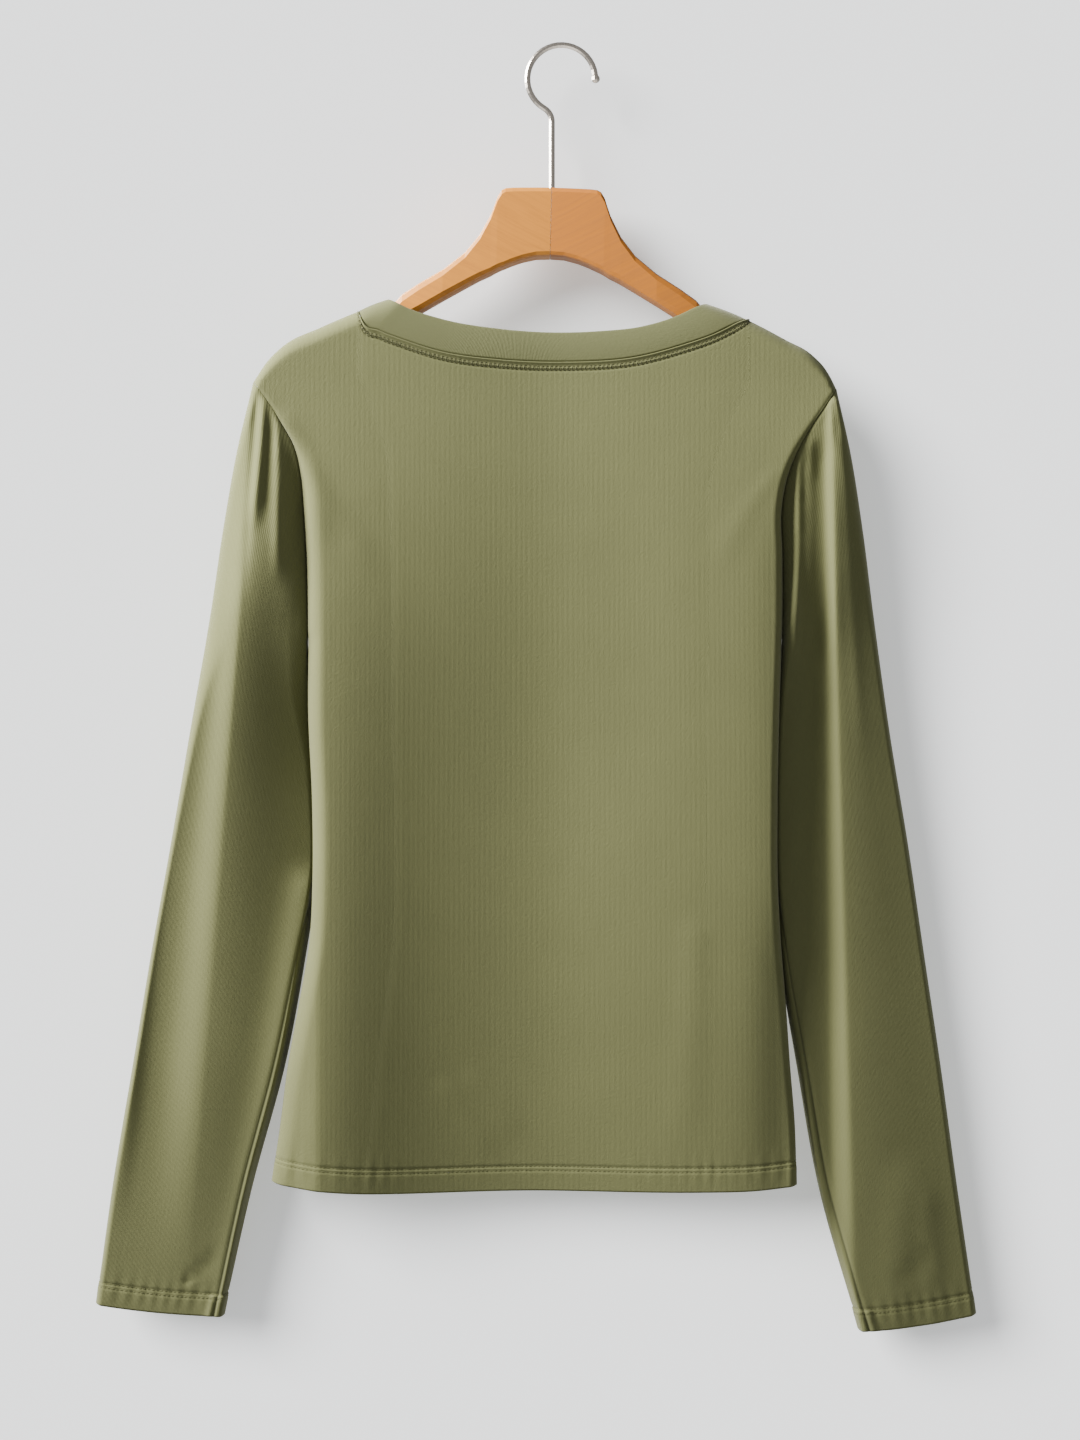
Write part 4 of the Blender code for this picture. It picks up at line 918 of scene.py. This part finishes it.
def build_neckband(back_row, front_row):
    """The folded band that stands up from the neck seam, a closed ring over both shoulders."""
    first, last = SHOULDER_COLUMNS, SHOULDER_COLUMNS + NECK_COLUMNS
    back, front = back_row[first:last + 1], front_row[first:last + 1]
    ends = (back[[0, -1]] + front[[0, -1]]) / 2
    seam = np.concatenate([ends[:1], back[1:-1], ends[1:], front[-2:0:-1]])
    seam_share = (neck_columns() - NECK_SEAM_LEFT_X) / (NECK_SEAM_RIGHT_X - NECK_SEAM_LEFT_X)
    edge_x = BAND_EDGE_LEFT_X + (BAND_EDGE_RIGHT_X - BAND_EDGE_LEFT_X) * seam_share
    edges = []
    for face, x in ((-1, edge_x[:-1]), (1, edge_x[:0:-1])):
        z = band_edge_z(x, face)
        below_ridge = (read(SHOULDER_RIDGE, "z", x) - z) / BAND_ROUND
        depth = BAND_LEAN * TORSO_SECTIONS[0].half_depth * quarter_round(below_ridge)
        edges.append(np.stack([x, middle_y(x, z) + face * depth, z], axis=-1))
    edge = np.concatenate(edges)
    rise = edge - seam
    start = seam + unit(rise) * NECK_GAP
    rise = edge - start
    share = np.linspace(0.0, 1.0, BAND_ROWS + 1)[:, None, None]
    outer = start[None] + rise[None] * share
    along = np.roll(outer, -1, axis=1) - np.roll(outer, 1, axis=1)
    normals = outward(along, np.broadcast_to(rise, outer.shape), outer, outer.mean(axis=(0, 1)))
    puffed = 4.0 * share * (1.0 - share)
    outer = outer + normals * puffed * BAND_PUFF
    radius = BAND_CLOTH / 2
    centre = outer[-1] - normals[-1] * radius
    upward = unit(rise)
    fold = []
    for step in range(1, BAND_FOLD_STEPS):
        angle = np.pi * step / BAND_FOLD_STEPS
        fold.append(centre + radius * (normals[-1] * math.cos(angle) + upward * math.sin(angle)))
    inner = (outer - normals * BAND_CLOTH)[::-1]
    profile = np.concatenate([outer, np.array(fold), inner])
    rows, columns, _ = profile.shape
    quads, rows_of, columns_of = grid_faces(rows, columns, closed=True)
    index = np.arange(rows * columns).reshape(rows, columns)
    quads = np.concatenate([quads, strip_faces(index[-1], index[0])])
    made = plain_mesh("neckband_cloth", profile.reshape(-1, 3), quads)
    height = wrapped(path_lengths(profile))
    round_ring = path_lengths(np.concatenate([edge, edge[:1]])[:, None])[:, 0]
    weave = np.stack(np.broadcast_arrays(round_ring[None, :], height), axis=-1)
    from_join = np.abs(round_ring - BAND_JOIN)
    seams = np.stack(np.broadcast_arrays(from_join[None, :], weave[..., 1]), axis=-1)
    closing_rows = np.tile(np.array([rows - 1, rows - 1, 0, 0]), (columns, 1))
    closing_columns = np.arange(columns)[:, None] + np.array([[0, 1, 1, 0]])
    row_at = np.concatenate([rows_of, closing_rows]).ravel()
    column_at = np.concatenate([columns_of, closing_columns]).ravel()
    fill_maps(made.data, weave, seams, row_at, column_at)
    settle_faces(made)
    return made


def fill(tree, node, inputs):
    """Gives each input of a node a value, or a link to a socket."""
    for name, value in inputs.items():
        if isinstance(value, bpy.types.NodeSocket):
            tree.links.new(value, node.inputs[name])
        else:
            node.inputs[name].default_value = value


def add_node(tree, kind, inputs=None, **settings):
    """A node with its settings and its inputs filled."""
    made = tree.nodes.new(kind)
    for name, value in settings.items():
        setattr(made, name, value)
    fill(tree, made, inputs or {})
    return made


def maths(tree, operation, first, second=0.0, third=0.0):
    """The result of one Math node."""
    made = add_node(tree, "ShaderNodeMath", {0: first, 1: second, 2: third}, operation=operation)
    return made.outputs["Value"]


def noise(tree, place, scale, detail=2.0, roughness=0.5):
    """A cloudy grey pattern."""
    inputs = {"Vector": place, "Scale": scale, "Detail": detail, "Roughness": roughness}
    return add_node(tree, "ShaderNodeTexNoise", inputs).outputs["Fac"]


def stretched(tree, place, factors):
    """Coordinates multiplied by a factor on each axis, which draws a pattern out."""
    made = add_node(tree, "ShaderNodeVectorMath", {0: place, 1: factors}, operation="MULTIPLY")
    return made.outputs["Vector"]


def ranged(tree, value, low, high, start=0.0, end=1.0, curve="LINEAR"):
    """A value taken from one range to another, and kept inside it."""
    inputs = {"Value": value, "From Min": low, "From Max": high, "To Min": start, "To Max": end}
    made = add_node(tree, "ShaderNodeMapRange", inputs, interpolation_type=curve)
    return made.outputs["Result"]


def shaded(tree, colour, value):
    """A colour made lighter or darker by a value around 1."""
    made = add_node(tree, "ShaderNodeHueSaturation", {"Color": colour, "Value": value})
    return made.outputs["Color"]


def uneven(tree, colour, pattern, span):
    """A colour that a grey pattern makes lighter and darker by half the span."""
    return shaded(tree, colour, maths(tree, "MULTIPLY_ADD", pattern, span, 1.0 - span / 2.0))


def relief_normal(tree, height, strength, depth):
    """The normal of a surface with a fine relief."""
    inputs = {"Height": height, "Strength": strength, "Distance": depth}
    return add_node(tree, "ShaderNodeBump", inputs).outputs["Normal"]


def shader_group(name, inputs, outputs):
    """An empty shader group with named sockets, and its input and output nodes."""
    group = bpy.data.node_groups.new(name, "ShaderNodeTree")
    for socket, kind, value in inputs:
        made = group.interface.new_socket(socket, in_out="INPUT", socket_type=kind)
        if value is not None:
            made.default_value = value
    for socket, kind in outputs:
        group.interface.new_socket(socket, in_out="OUTPUT", socket_type=kind)
    given, result = group.nodes.new("NodeGroupInput"), group.nodes.new("NodeGroupOutput")
    return group, given.outputs, result


def jersey_knit_group():
    """Fine single jersey: columns of loops, vertical streaks and a mottle, as colour and height."""
    group, given, result = shader_group(
        "jersey_knit",
        (
            ("Coordinates", "NodeSocketVector", None),
            ("Colour", "NodeSocketColor", JERSEY_COLOUR),
            ("Wale width", "NodeSocketFloat", WALE_WIDTH),
            ("Streaks", "NodeSocketFloat", 0.05),
            ("Mottle", "NodeSocketFloat", 0.12),
        ),
        (("Colour", "NodeSocketColor"), ("Height", "NodeSocketFloat")),
    )
    place, width = given["Coordinates"], given["Wale width"]
    axes = add_node(group, "ShaderNodeSeparateXYZ", {"Vector": place}).outputs
    half = maths(group, "DIVIDE", width, 2.0)
    wale = maths(group, "DIVIDE", maths(group, "PINGPONG", axes["X"], half), half)
    course = maths(group, "DIVIDE", axes["Y"], maths(group, "MULTIPLY", width, COURSE_BY_WALE))
    turn = maths(group, "MULTIPLY_ADD", wale, LOOP_SKEW, course)
    loop = maths(group, "SINE", maths(group, "MULTIPLY", turn, 2.0 * math.pi))
    drawn_out = stretched(group, place, STREAK_STRETCH)
    streak = noise(group, drawn_out, 1.0, detail=4.0, roughness=0.62)
    speck = noise(group, place, SPECK_SCALE, detail=3.0, roughness=0.7)
    cloud = noise(group, place, CLOUD_SCALE, detail=3.0, roughness=0.55)
    streaked = maths(group, "MULTIPLY", maths(group, "SUBTRACT", streak, 0.5), given["Streaks"])
    mottled = maths(group, "SUBTRACT", maths(group, "ADD", speck, cloud), 1.0)
    mottled = maths(group, "MULTIPLY", mottled, given["Mottle"])
    value = maths(group, "ADD", maths(group, "ADD", 1.0, streaked), mottled)
    height = maths(group, "MULTIPLY_ADD", wale, WALE_RISE, maths(group, "MULTIPLY", loop, LOOP_RISE))
    height = maths(group, "MULTIPLY_ADD", streak, STREAK_RISE, height)
    height = maths(group, "MULTIPLY_ADD", speck, SPECK_RISE, height)
    fill(group, result, {"Colour": shaded(group, given["Colour"], value), "Height": height})
    return group


def seam_painted_shade_group():
    """A soft line of painted shade where two pieces are sewn together, from the distance to the seam."""
    group, given, result = shader_group(
        "seam_painted_shade",
        (
            ("Distance", "NodeSocketFloat", 0.0),
            ("Half width", "NodeSocketFloat", 0.0009),
            ("Colour", "NodeSocketColor", JERSEY_COLOUR),
            ("Painted shade", "NodeSocketFloat", 0.35),
        ),
        (("Colour", "NodeSocketColor"), ("Mask", "NodeSocketFloat")),
    )
    distance = maths(group, "ABSOLUTE", given["Distance"])
    far = maths(group, "DIVIDE", distance, given["Half width"])
    mask = ranged(group, far, low=0.0, high=1.0, start=1.0, end=0.0, curve="SMOOTHSTEP")
    # The cloth beside the seam is darkened as painted shade in the sewn crease
    value = maths(group, "SUBTRACT", 1.0, maths(group, "MULTIPLY", mask, given["Painted shade"]))
    fill(group, result, {"Colour": shaded(group, given["Colour"], value), "Mask": mask})
    return group


def wood_grain_group():
    """Beech: long wavy grain, small dark flecks and a soft change of tone."""
    group, given, result = shader_group(
        "beech_grain",
        (
            ("Coordinates", "NodeSocketVector", None),
            ("Light", "NodeSocketColor", BEECH_LIT_LEFT),
            ("Dark", "NodeSocketColor", BEECH_DARK),
            ("Contrast", "NodeSocketFloat", 0.35),
        ),
        (("Colour", "NodeSocketColor"), ("Height", "NodeSocketFloat"), ("Roughness", "NodeSocketFloat")),
    )
    place = given["Coordinates"]
    wave = {"Vector": place, "Scale": GRAIN_WAVE_SCALE, "Detail": 2.0}
    bent = add_node(group, "ShaderNodeTexNoise", wave).outputs["Color"]
    shifted = add_node(
        group, "ShaderNodeVectorMath", {0: bent, 1: GRAIN_WAVE, 2: place}, operation="MULTIPLY_ADD",
    ).outputs["Vector"]
    drawn_out = stretched(group, shifted, GRAIN_STRETCH)
    grain = noise(group, drawn_out, 1.0, detail=5.0, roughness=0.6)
    fleck = noise(group, stretched(group, place, FLECK_STRETCH), 1.0)
    flecks = ranged(group, fleck, low=0.62, high=0.74, end=0.5)
    bands = ranged(group, grain, low=0.42, high=0.72)
    share = maths(group, "MULTIPLY", maths(group, "ADD", bands, flecks), given["Contrast"])
    # Of a Mix node's inputs, 0 is the share, and 6 and 7 are the colours. Its output 2 is the colour
    blend = add_node(
        group, "ShaderNodeMix", {0: share, 6: given["Light"], 7: given["Dark"]}, data_type="RGBA",
    )
    fill(group, result, {
        "Colour": blend.outputs[2],
        "Height": grain,
        "Roughness": maths(group, "MULTIPLY_ADD", grain, GRAIN_ROUGHNESS, VARNISH_ROUGHNESS),
    })
    return group


def new_material(name):
    """A node material and its tree and Principled shader."""
    made = bpy.data.materials.new(name)
    made.use_nodes = True
    return made, made.node_tree, made.node_tree.nodes["Principled BSDF"]


def on_object(tree):
    """Coordinates that stay with the object."""
    return add_node(tree, "ShaderNodeTexCoord").outputs["Object"]


def jersey_material(name, groups, colour, seam):
    """Olive jersey that follows the weave map, with a groove and a line of painted shade where the seams
    map is zero.
    """
    made, tree, shader = new_material(name)
    weave = add_node(tree, "ShaderNodeUVMap", uv_map="weave").outputs["UV"]
    seams = add_node(tree, "ShaderNodeUVMap", uv_map="seams").outputs["UV"]
    to_seam = add_node(tree, "ShaderNodeSeparateXYZ", {"Vector": seams}).outputs["X"]
    knit = add_node(
        tree, "ShaderNodeGroup", {"Coordinates": weave, "Colour": colour}, node_tree=groups["knit"],
    ).outputs
    line = add_node(
        tree, "ShaderNodeGroup", {"Distance": to_seam, "Colour": knit["Colour"], **seam},
        node_tree=groups["seam"],
    ).outputs
    height = maths(tree, "MULTIPLY_ADD", line["Mask"], -SEAM_GROOVE, knit["Height"])
    fill(tree, shader, {
        "Base Color": line["Colour"],
        "Normal": relief_normal(tree, height, strength=0.55, depth=KNIT_DEPTH),
        "Roughness": 0.88,
        "Sheen Weight": 0.22,
        "Sheen Roughness": 0.45,
        "Sheen Tint": SHEEN_TINT,
        "Specular IOR Level": 0.20,
    })
    return made


def thread_material(name, colour):
    """Spun sewing thread, a little darker than the cloth."""
    made, tree, shader = new_material(name)
    twist = noise(tree, on_object(tree), TWIST_SCALE)
    fill(tree, shader, {
        "Base Color": uneven(tree, colour, twist, span=0.3),
        "Normal": relief_normal(tree, twist, strength=0.4, depth=TWIST_DEPTH),
        "Roughness": 0.70,
        "Specular IOR Level": 0.25,
    })
    return made


def beech_material(name, group, colour, slope, contrast):
    """Varnished beech with its grain along a hanger arm that slopes down from the middle."""
    made, tree, shader = new_material(name)
    turned = {"Vector": on_object(tree), "Rotation": (0.0, slope, 0.0)}
    place = add_node(tree, "ShaderNodeMapping", turned).outputs["Vector"]
    grain = add_node(
        tree, "ShaderNodeGroup", {"Coordinates": place, "Light": colour, "Contrast": contrast},
        node_tree=group,
    ).outputs
    fill(tree, shader, {
        "Base Color": grain["Colour"],
        "Roughness": grain["Roughness"],
        "Normal": relief_normal(tree, grain["Height"], strength=0.25, depth=GRAIN_DEPTH),
        "Specular IOR Level": 0.25,
        "Coat Weight": 0.06,
        "Coat Roughness": 0.30,
    })
    return made


def nickel_material():
    """Polished nickel plate with faint drawing marks."""
    made, tree, shader = new_material("polished_nickel")
    marks = noise(tree, on_object(tree), DRAWING_SCALE, detail=3.0)
    fill(tree, shader, {
        "Base Color": uneven(tree, NICKEL_COLOUR, marks, span=0.10),
        "Roughness": maths(tree, "MULTIPLY_ADD", marks, DRAWING_ROUGHNESS, WIRE_ROUGHNESS),
        "Metallic": 1.0,
    })
    return made


def glue_material():
    """Dark dried wood glue with a faint unevenness."""
    made, tree, shader = new_material("wood_glue")
    cloud = noise(tree, on_object(tree), GLUE_SCALE)
    colour = uneven(tree, GLUE_COLOUR, cloud, span=0.4)
    fill(tree, shader, {"Base Color": colour, "Roughness": 0.60})
    return made


def stage_material(name, colour, glow, one_sided):
    """Matte paint, lit evenly by its own glow too. One sided paint can't be seen from behind."""
    made, tree, shader = new_material(name)
    cloud = noise(tree, on_object(tree), PAINT_SCALE)
    fill(tree, shader, {
        "Base Color": uneven(tree, colour, cloud, span=0.03),
        "Roughness": 0.95,
        "Specular IOR Level": 0.0,
        "Emission Color": colour,
        "Emission Strength": glow,
    })
    if one_sided:
        facing = add_node(tree, "ShaderNodeNewGeometry")
        clear = add_node(tree, "ShaderNodeBsdfTransparent")
        chosen = add_node(tree, "ShaderNodeMixShader", {
            0: facing.outputs["Backfacing"], 1: shader.outputs["BSDF"], 2: clear.outputs["BSDF"],
        })
        fill(tree, tree.nodes["Material Output"], {"Surface": chosen.outputs["Shader"]})
    return made


def random_value(tree, least, most, seed):
    """A random number for each point. Inputs 2 and 3 are the limits of a plain number."""
    inputs = {2: least, 3: most, "Seed": seed}
    return add_node(tree, "FunctionNodeRandomValue", inputs, data_type="FLOAT").outputs[1]


def stitch_tree(name, material):
    """Geometry Nodes that lay one short stitch after another along the paths."""
    tree = bpy.data.node_groups.new(name, "GeometryNodeTree")
    for socket, kind, value in (
        ("Paths", "NodeSocketGeometry", None),
        ("Pitch", "NodeSocketFloat", STITCH_PITCH),
        ("Stitch length", "NodeSocketFloat", STITCH_LENGTH),
        ("Thread width", "NodeSocketFloat", STITCH_WIDTH),
        ("Slant", "NodeSocketFloat", 0.0),
        ("Seed", "NodeSocketInt", STITCH_SEED),
    ):
        made = tree.interface.new_socket(socket, in_out="INPUT", socket_type=kind)
        if value is not None:
            made.default_value = value
    tree.interface.new_socket("Stitches", in_out="OUTPUT", socket_type="NodeSocketGeometry")
    given = tree.nodes.new("NodeGroupInput").outputs
    result = tree.nodes.new("NodeGroupOutput")
    spaced = add_node(
        tree, "GeometryNodeResampleCurve", {"Curve": given["Paths"], "Length": given["Pitch"]},
        mode="LENGTH",
    )
    bead = add_node(tree, "GeometryNodeMeshUVSphere", {
        "Segments": BEAD_SIDES, "Rings": BEAD_RINGS, "Radius": 0.5,
    })
    tangent = add_node(tree, "GeometryNodeInputTangent")
    turned = add_node(
        tree, "FunctionNodeAlignRotationToVector", {"Vector": tangent.outputs["Tangent"]}, axis="X",
    )
    index = add_node(tree, "GeometryNodeInputIndex")
    parity = maths(tree, "MULTIPLY_ADD", maths(tree, "MODULO", index.outputs["Index"], 2.0), 2.0, -1.0)
    wobble = random_value(tree, -STITCH_WOBBLE, STITCH_WOBBLE, given["Seed"])
    slant = maths(tree, "ADD", maths(tree, "MULTIPLY", parity, given["Slant"]), wobble)
    lean = add_node(tree, "FunctionNodeAxisAngleToRotation", {"Axis": (0.0, 1.0, 0.0), "Angle": slant})
    placed = add_node(tree, "FunctionNodeRotateRotation", {
        "Rotation": turned.outputs["Rotation"], "Rotate By": lean.outputs["Rotation"],
    }, rotation_space="GLOBAL")
    size = add_node(tree, "ShaderNodeCombineXYZ", {
        "X": given["Stitch length"], "Y": given["Thread width"], "Z": given["Thread width"],
    })
    uneven_size = random_value(tree, STITCH_SMALLEST, STITCH_LARGEST, given["Seed"])
    sized = add_node(
        tree, "ShaderNodeVectorMath", {0: size.outputs["Vector"], "Scale": uneven_size},
        operation="SCALE",
    )
    laid = add_node(tree, "GeometryNodeInstanceOnPoints", {
        "Points": spaced.outputs["Curve"],
        "Instance": bead.outputs["Mesh"],
        "Rotation": placed.outputs["Rotation"],
        "Scale": sized.outputs["Vector"],
    })
    solid = add_node(tree, "GeometryNodeRealizeInstances", {"Geometry": laid.outputs["Instances"]})
    finished = add_node(tree, "GeometryNodeSetMaterial", {
        "Geometry": solid.outputs["Geometry"], "Material": material,
    })
    fill(tree, result, {"Stitches": finished.outputs["Geometry"]})
    return tree


def stitch_piece(name, tree, paths, closed, values):
    """Stitches laid along paths, as one plain mesh."""
    line = bpy.data.curves.new(name + "_path", "CURVE")
    line.dimensions = "3D"
    for path in paths:
        spline = line.splines.new("POLY")
        spline.points.add(len(path) - 1)
        weighted = np.concatenate([path, np.ones((len(path), 1))], axis=1)
        spline.points.foreach_set("co", weighted.ravel())
        spline.use_cyclic_u = closed
    guide = in_scene(name + "_path", line)
    modifier = guide.modifiers.new("stitches", "NODES")
    modifier.node_group = tree
    for item in tree.interface.items_tree:
        if item.in_out == "INPUT" and item.name in values:
            modifier[item.identifier] = values[item.name]
    graph = bpy.context.evaluated_depsgraph_get()
    mesh = bpy.data.meshes.new_from_object(guide.evaluated_get(graph))
    mesh.name = name
    mesh.shade_smooth()
    guide.modifiers.remove(modifier)
    bpy.data.objects.remove(guide, do_unlink=True)
    return in_scene(name, mesh)


def dress_cloth(piece, node, material):
    """Gives a cloth piece its material and its place in the frame, and hides the plain part it stands
    for.
    """
    piece.data.materials.append(material)
    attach(piece, "root")
    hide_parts(node)


def build_garment():
    """All the cloth and its stitching."""
    groups = {"knit": jersey_knit_group(), "seam": seam_painted_shade_group()}
    panel_cloth = jersey_material("olive_jersey", groups, JERSEY_COLOUR, PANEL_SEAM)
    sleeve_cloth = jersey_material("olive_jersey_sleeve", groups, JERSEY_COLOUR, SLEEVE_SEAM)
    band_cloth = jersey_material("olive_jersey_band", groups, BAND_COLOUR, BAND_SEAM)
    neck_rows = stitch_tree("neck_stitch_row", thread_material("neck_thread", NECK_THREAD_COLOUR))
    hem_rows = stitch_tree("hem_stitch_row", thread_material("hem_thread", HEM_THREAD_COLOUR))
    panels, rows, hems, necks, neck_zigzags = {}, {}, [], [], []
    for name, node, face in (("back_cloth", "back_panel", -1), ("front_cloth", "front_panel", 1)):
        piece, edge, seam_row, paths = build_panel(name, face)
        dress_cloth(piece, node, panel_cloth)
        panels[face], rows[face] = edge, seam_row
        hems += paths["hem"]
        necks += paths["neck"]
        neck_zigzags += paths["neck_between"]
    rings = []
    left_folds = {-1: SLEEVE_LEFT_BACK_FOLDS, 1: SLEEVE_LEFT_FRONT_FOLDS}
    right_folds = {-1: SLEEVE_RIGHT_BACK_FOLDS, 1: SLEEVE_RIGHT_FRONT_FOLDS}
    for node, sections, sleeve_edges, column, folds in (
        ("sleeve_left", SLEEVE_LEFT_SECTIONS, SLEEVE_LEFT_EDGES, 0, left_folds),
        ("sleeve_right", SLEEVE_RIGHT_SECTIONS, SLEEVE_RIGHT_EDGES, 1, right_folds),
    ):
        seams_of = {face: armhole_seam(panels[face][:, column]) for face in (-1, 1)}
        piece, paths = build_sleeve(node + "_cloth", sections, sleeve_edges, seams_of, folds)
        dress_cloth(piece, node, sleeve_cloth)
        rings += paths
    band = build_neckband(rows[-1], rows[1])
    dress_cloth(band, "neckband", band_cloth)
    slanted = {"Pitch": ZIGZAG_PITCH, "Slant": ZIGZAG_SLANT, "Thread width": COVER_THREAD_WIDTH}
    fine = {"Thread width": HEM_THREAD_WIDTH}
    for name, tree, paths, closed, values in (
        ("hem_stitches", hem_rows, hems, False, fine),
        ("neck_stitches", neck_rows, necks, False, {}),
        ("neck_cover_thread", neck_rows, neck_zigzags, False, slanted),
        ("cuff_stitches", hem_rows, rings, True, fine),
    ):
        piece = stitch_piece(name, tree, paths, closed, values)
        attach(piece, "root")


def build_glue_line():
    """A thin leaf of glue between the hanger's halves, with rounded corners."""
    middle_z = (GLUE_TOP + GLUE_BOTTOM) / 2.0
    half_height = (GLUE_TOP - GLUE_BOTTOM) / 2.0
    ring = []
    for y_side, z_side, start in ((1, 1, 0.0), (-1, 1, 90.0), (-1, -1, 180.0), (1, -1, 270.0)):
        for step in range(GLUE_CORNER_STEPS + 1):
            angle = math.radians(start + 90.0 * step / GLUE_CORNER_STEPS)
            y = y_side * (GLUE_HALF_DEPTH - GLUE_CORNER) + GLUE_CORNER * math.cos(angle)
            z = middle_z + z_side * (half_height - GLUE_CORNER) + GLUE_CORNER * math.sin(angle)
            ring.append((y, z))
    count = len(ring)
    tilt_cos, tilt_sin = math.cos(HANGER_TILT), math.sin(HANGER_TILT)
    points = []
    for x in (-GLUE_HALF_THICKNESS, GLUE_HALF_THICKNESS):
        for y, z in ring:
            across = HANGER_JOINT_X + x * tilt_cos + z * tilt_sin
            points.append((across, y, HANGER_TOP_Z + z * tilt_cos - x * tilt_sin))
    faces = [tuple(range(count))[::-1], tuple(range(count, 2 * count))]
    for at in range(count):
        after = (at + 1) % count
        faces.append((at, after, after + count, at + count))
    mesh = bpy.data.meshes.new("glue_line")
    mesh.from_pydata(points, [], faces)
    mesh.materials.append(glue_material())
    made = in_scene("glue_line", mesh)
    settle_faces(made)
    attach(made, "root")


def finish_hanger():
    """Wood and wire on the hanger's own solids, with the wood's two halves painted lit and shaded."""
    grain = wood_grain_group()
    finishes = {
        # Both halves are the same beech: the right is painted shade, darker and with more grain contrast
        # than the lit left
        "hanger_left": beech_material("beech_lit_left", grain, BEECH_LIT_LEFT, -GRAIN_SLOPE, contrast=0.30),
        "hanger_right": beech_material("beech_shaded_right", grain, BEECH_SHADED_RIGHT, GRAIN_SLOPE, contrast=0.45),
        "hanger_hook": nickel_material(),
    }
    for node, material in finishes.items():
        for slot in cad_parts[node].material_slots:
            slot.material = material


def stage_plane(name, corners, material):
    """A large flat face that isn't part of the object."""
    mesh = bpy.data.meshes.new(name)
    mesh.from_pydata(corners, [], [(0, 1, 2, 3)])
    mesh.materials.append(material)
    made = in_scene(name, mesh)
    return made


def aimed(place):
    """The turn that points a light from its place at the middle of the garment."""
    aim = np.array(LIT_PLACE) - np.array(place)
    return (math.atan2(math.hypot(aim[0], aim[1]), -aim[2]), 0.0, math.atan2(-aim[0], aim[1]))


def area_light(name, place, size, power):
    """A soft rectangular light aimed at the garment."""
    light = bpy.data.lights.new(name, "AREA")
    light.shape = "RECTANGLE"
    light.size, light.size_y = size
    light.energy = power
    made = in_scene(name, light)
    made.location = place
    made.rotation_euler = aimed(place)
    return made


def far_light(name, place, softness, strength):
    """A light from far away, so that it is even all over the wall."""
    light = bpy.data.lights.new(name, "SUN")
    light.angle = softness
    light.energy = strength
    made = in_scene(name, light)
    made.rotation_euler = aimed(place)
    return made


def share_light(light, backdrop, falls_on_it):
    """Lets a light fall on the backdrop alone, or on everything else."""
    chosen = bpy.data.collections.new(light.name + "_falls_on")
    for made in backdrop:
        chosen.objects.link(made)
    for item in chosen.collection_objects:
        item.light_linking.link_state = "INCLUDE" if falls_on_it else "EXCLUDE"
    light.light_linking.receiver_collection = chosen


def build_room():
    """Wall, floor, lights and camera."""
    size = ROOM_SIZE
    sides = ((-size, -size), (size, -size), (size, size), (-size, size))
    wall = stage_plane(
        "wall",
        [(x, WALL_Y, max(z, FLOOR_Z)) for x, z in sides],
        stage_material("wall_paint", WALL_COLOUR, WALL_GLOW, one_sided=True),
    )
    wall.visible_shadow = False
    wall.visible_diffuse = False
    wall.visible_glossy = False
    floor = stage_plane(
        "floor",
        [(x, y, FLOOR_Z) for x, y in sides],
        stage_material("floor_paint", FLOOR_COLOUR, glow=0.0, one_sided=False),
    )
    floor.visible_diffuse = False
    window = area_light("window", WINDOW_PLACE, WINDOW_SIZE, WINDOW_POWER)
    share_light(window, [wall], falls_on_it=False)
    wall_light = far_light("wall_light", WALL_LIGHT_PLACE, WALL_LIGHT_SOFTNESS, WALL_LIGHT_STRENGTH)
    share_light(wall_light, [wall], falls_on_it=True)
    area_light("back_window", BACK_WINDOW_PLACE, BACK_WINDOW_SIZE, BACK_WINDOW_POWER)
    world = bpy.data.worlds.new("soft_room")
    world.use_nodes = True
    background = world.node_tree.nodes["Background"]
    background.inputs["Color"].default_value = AIR_COLOUR
    background.inputs["Strength"].default_value = AIR_STRENGTH
    bpy.context.scene.world = world
    lens = bpy.data.cameras.new("camera")
    lens.sensor_fit = "VERTICAL"
    lens.sensor_height = CAMERA_SENSOR
    lens.lens = CAMERA_LENS
    camera = in_scene("camera", lens)
    camera.location = CAMERA_PLACE
    camera.rotation_euler = (math.pi / 2, 0.0, 0.0)
    bpy.context.scene.camera = camera


build_garment()
finish_hanger()
build_glue_line()
build_room()
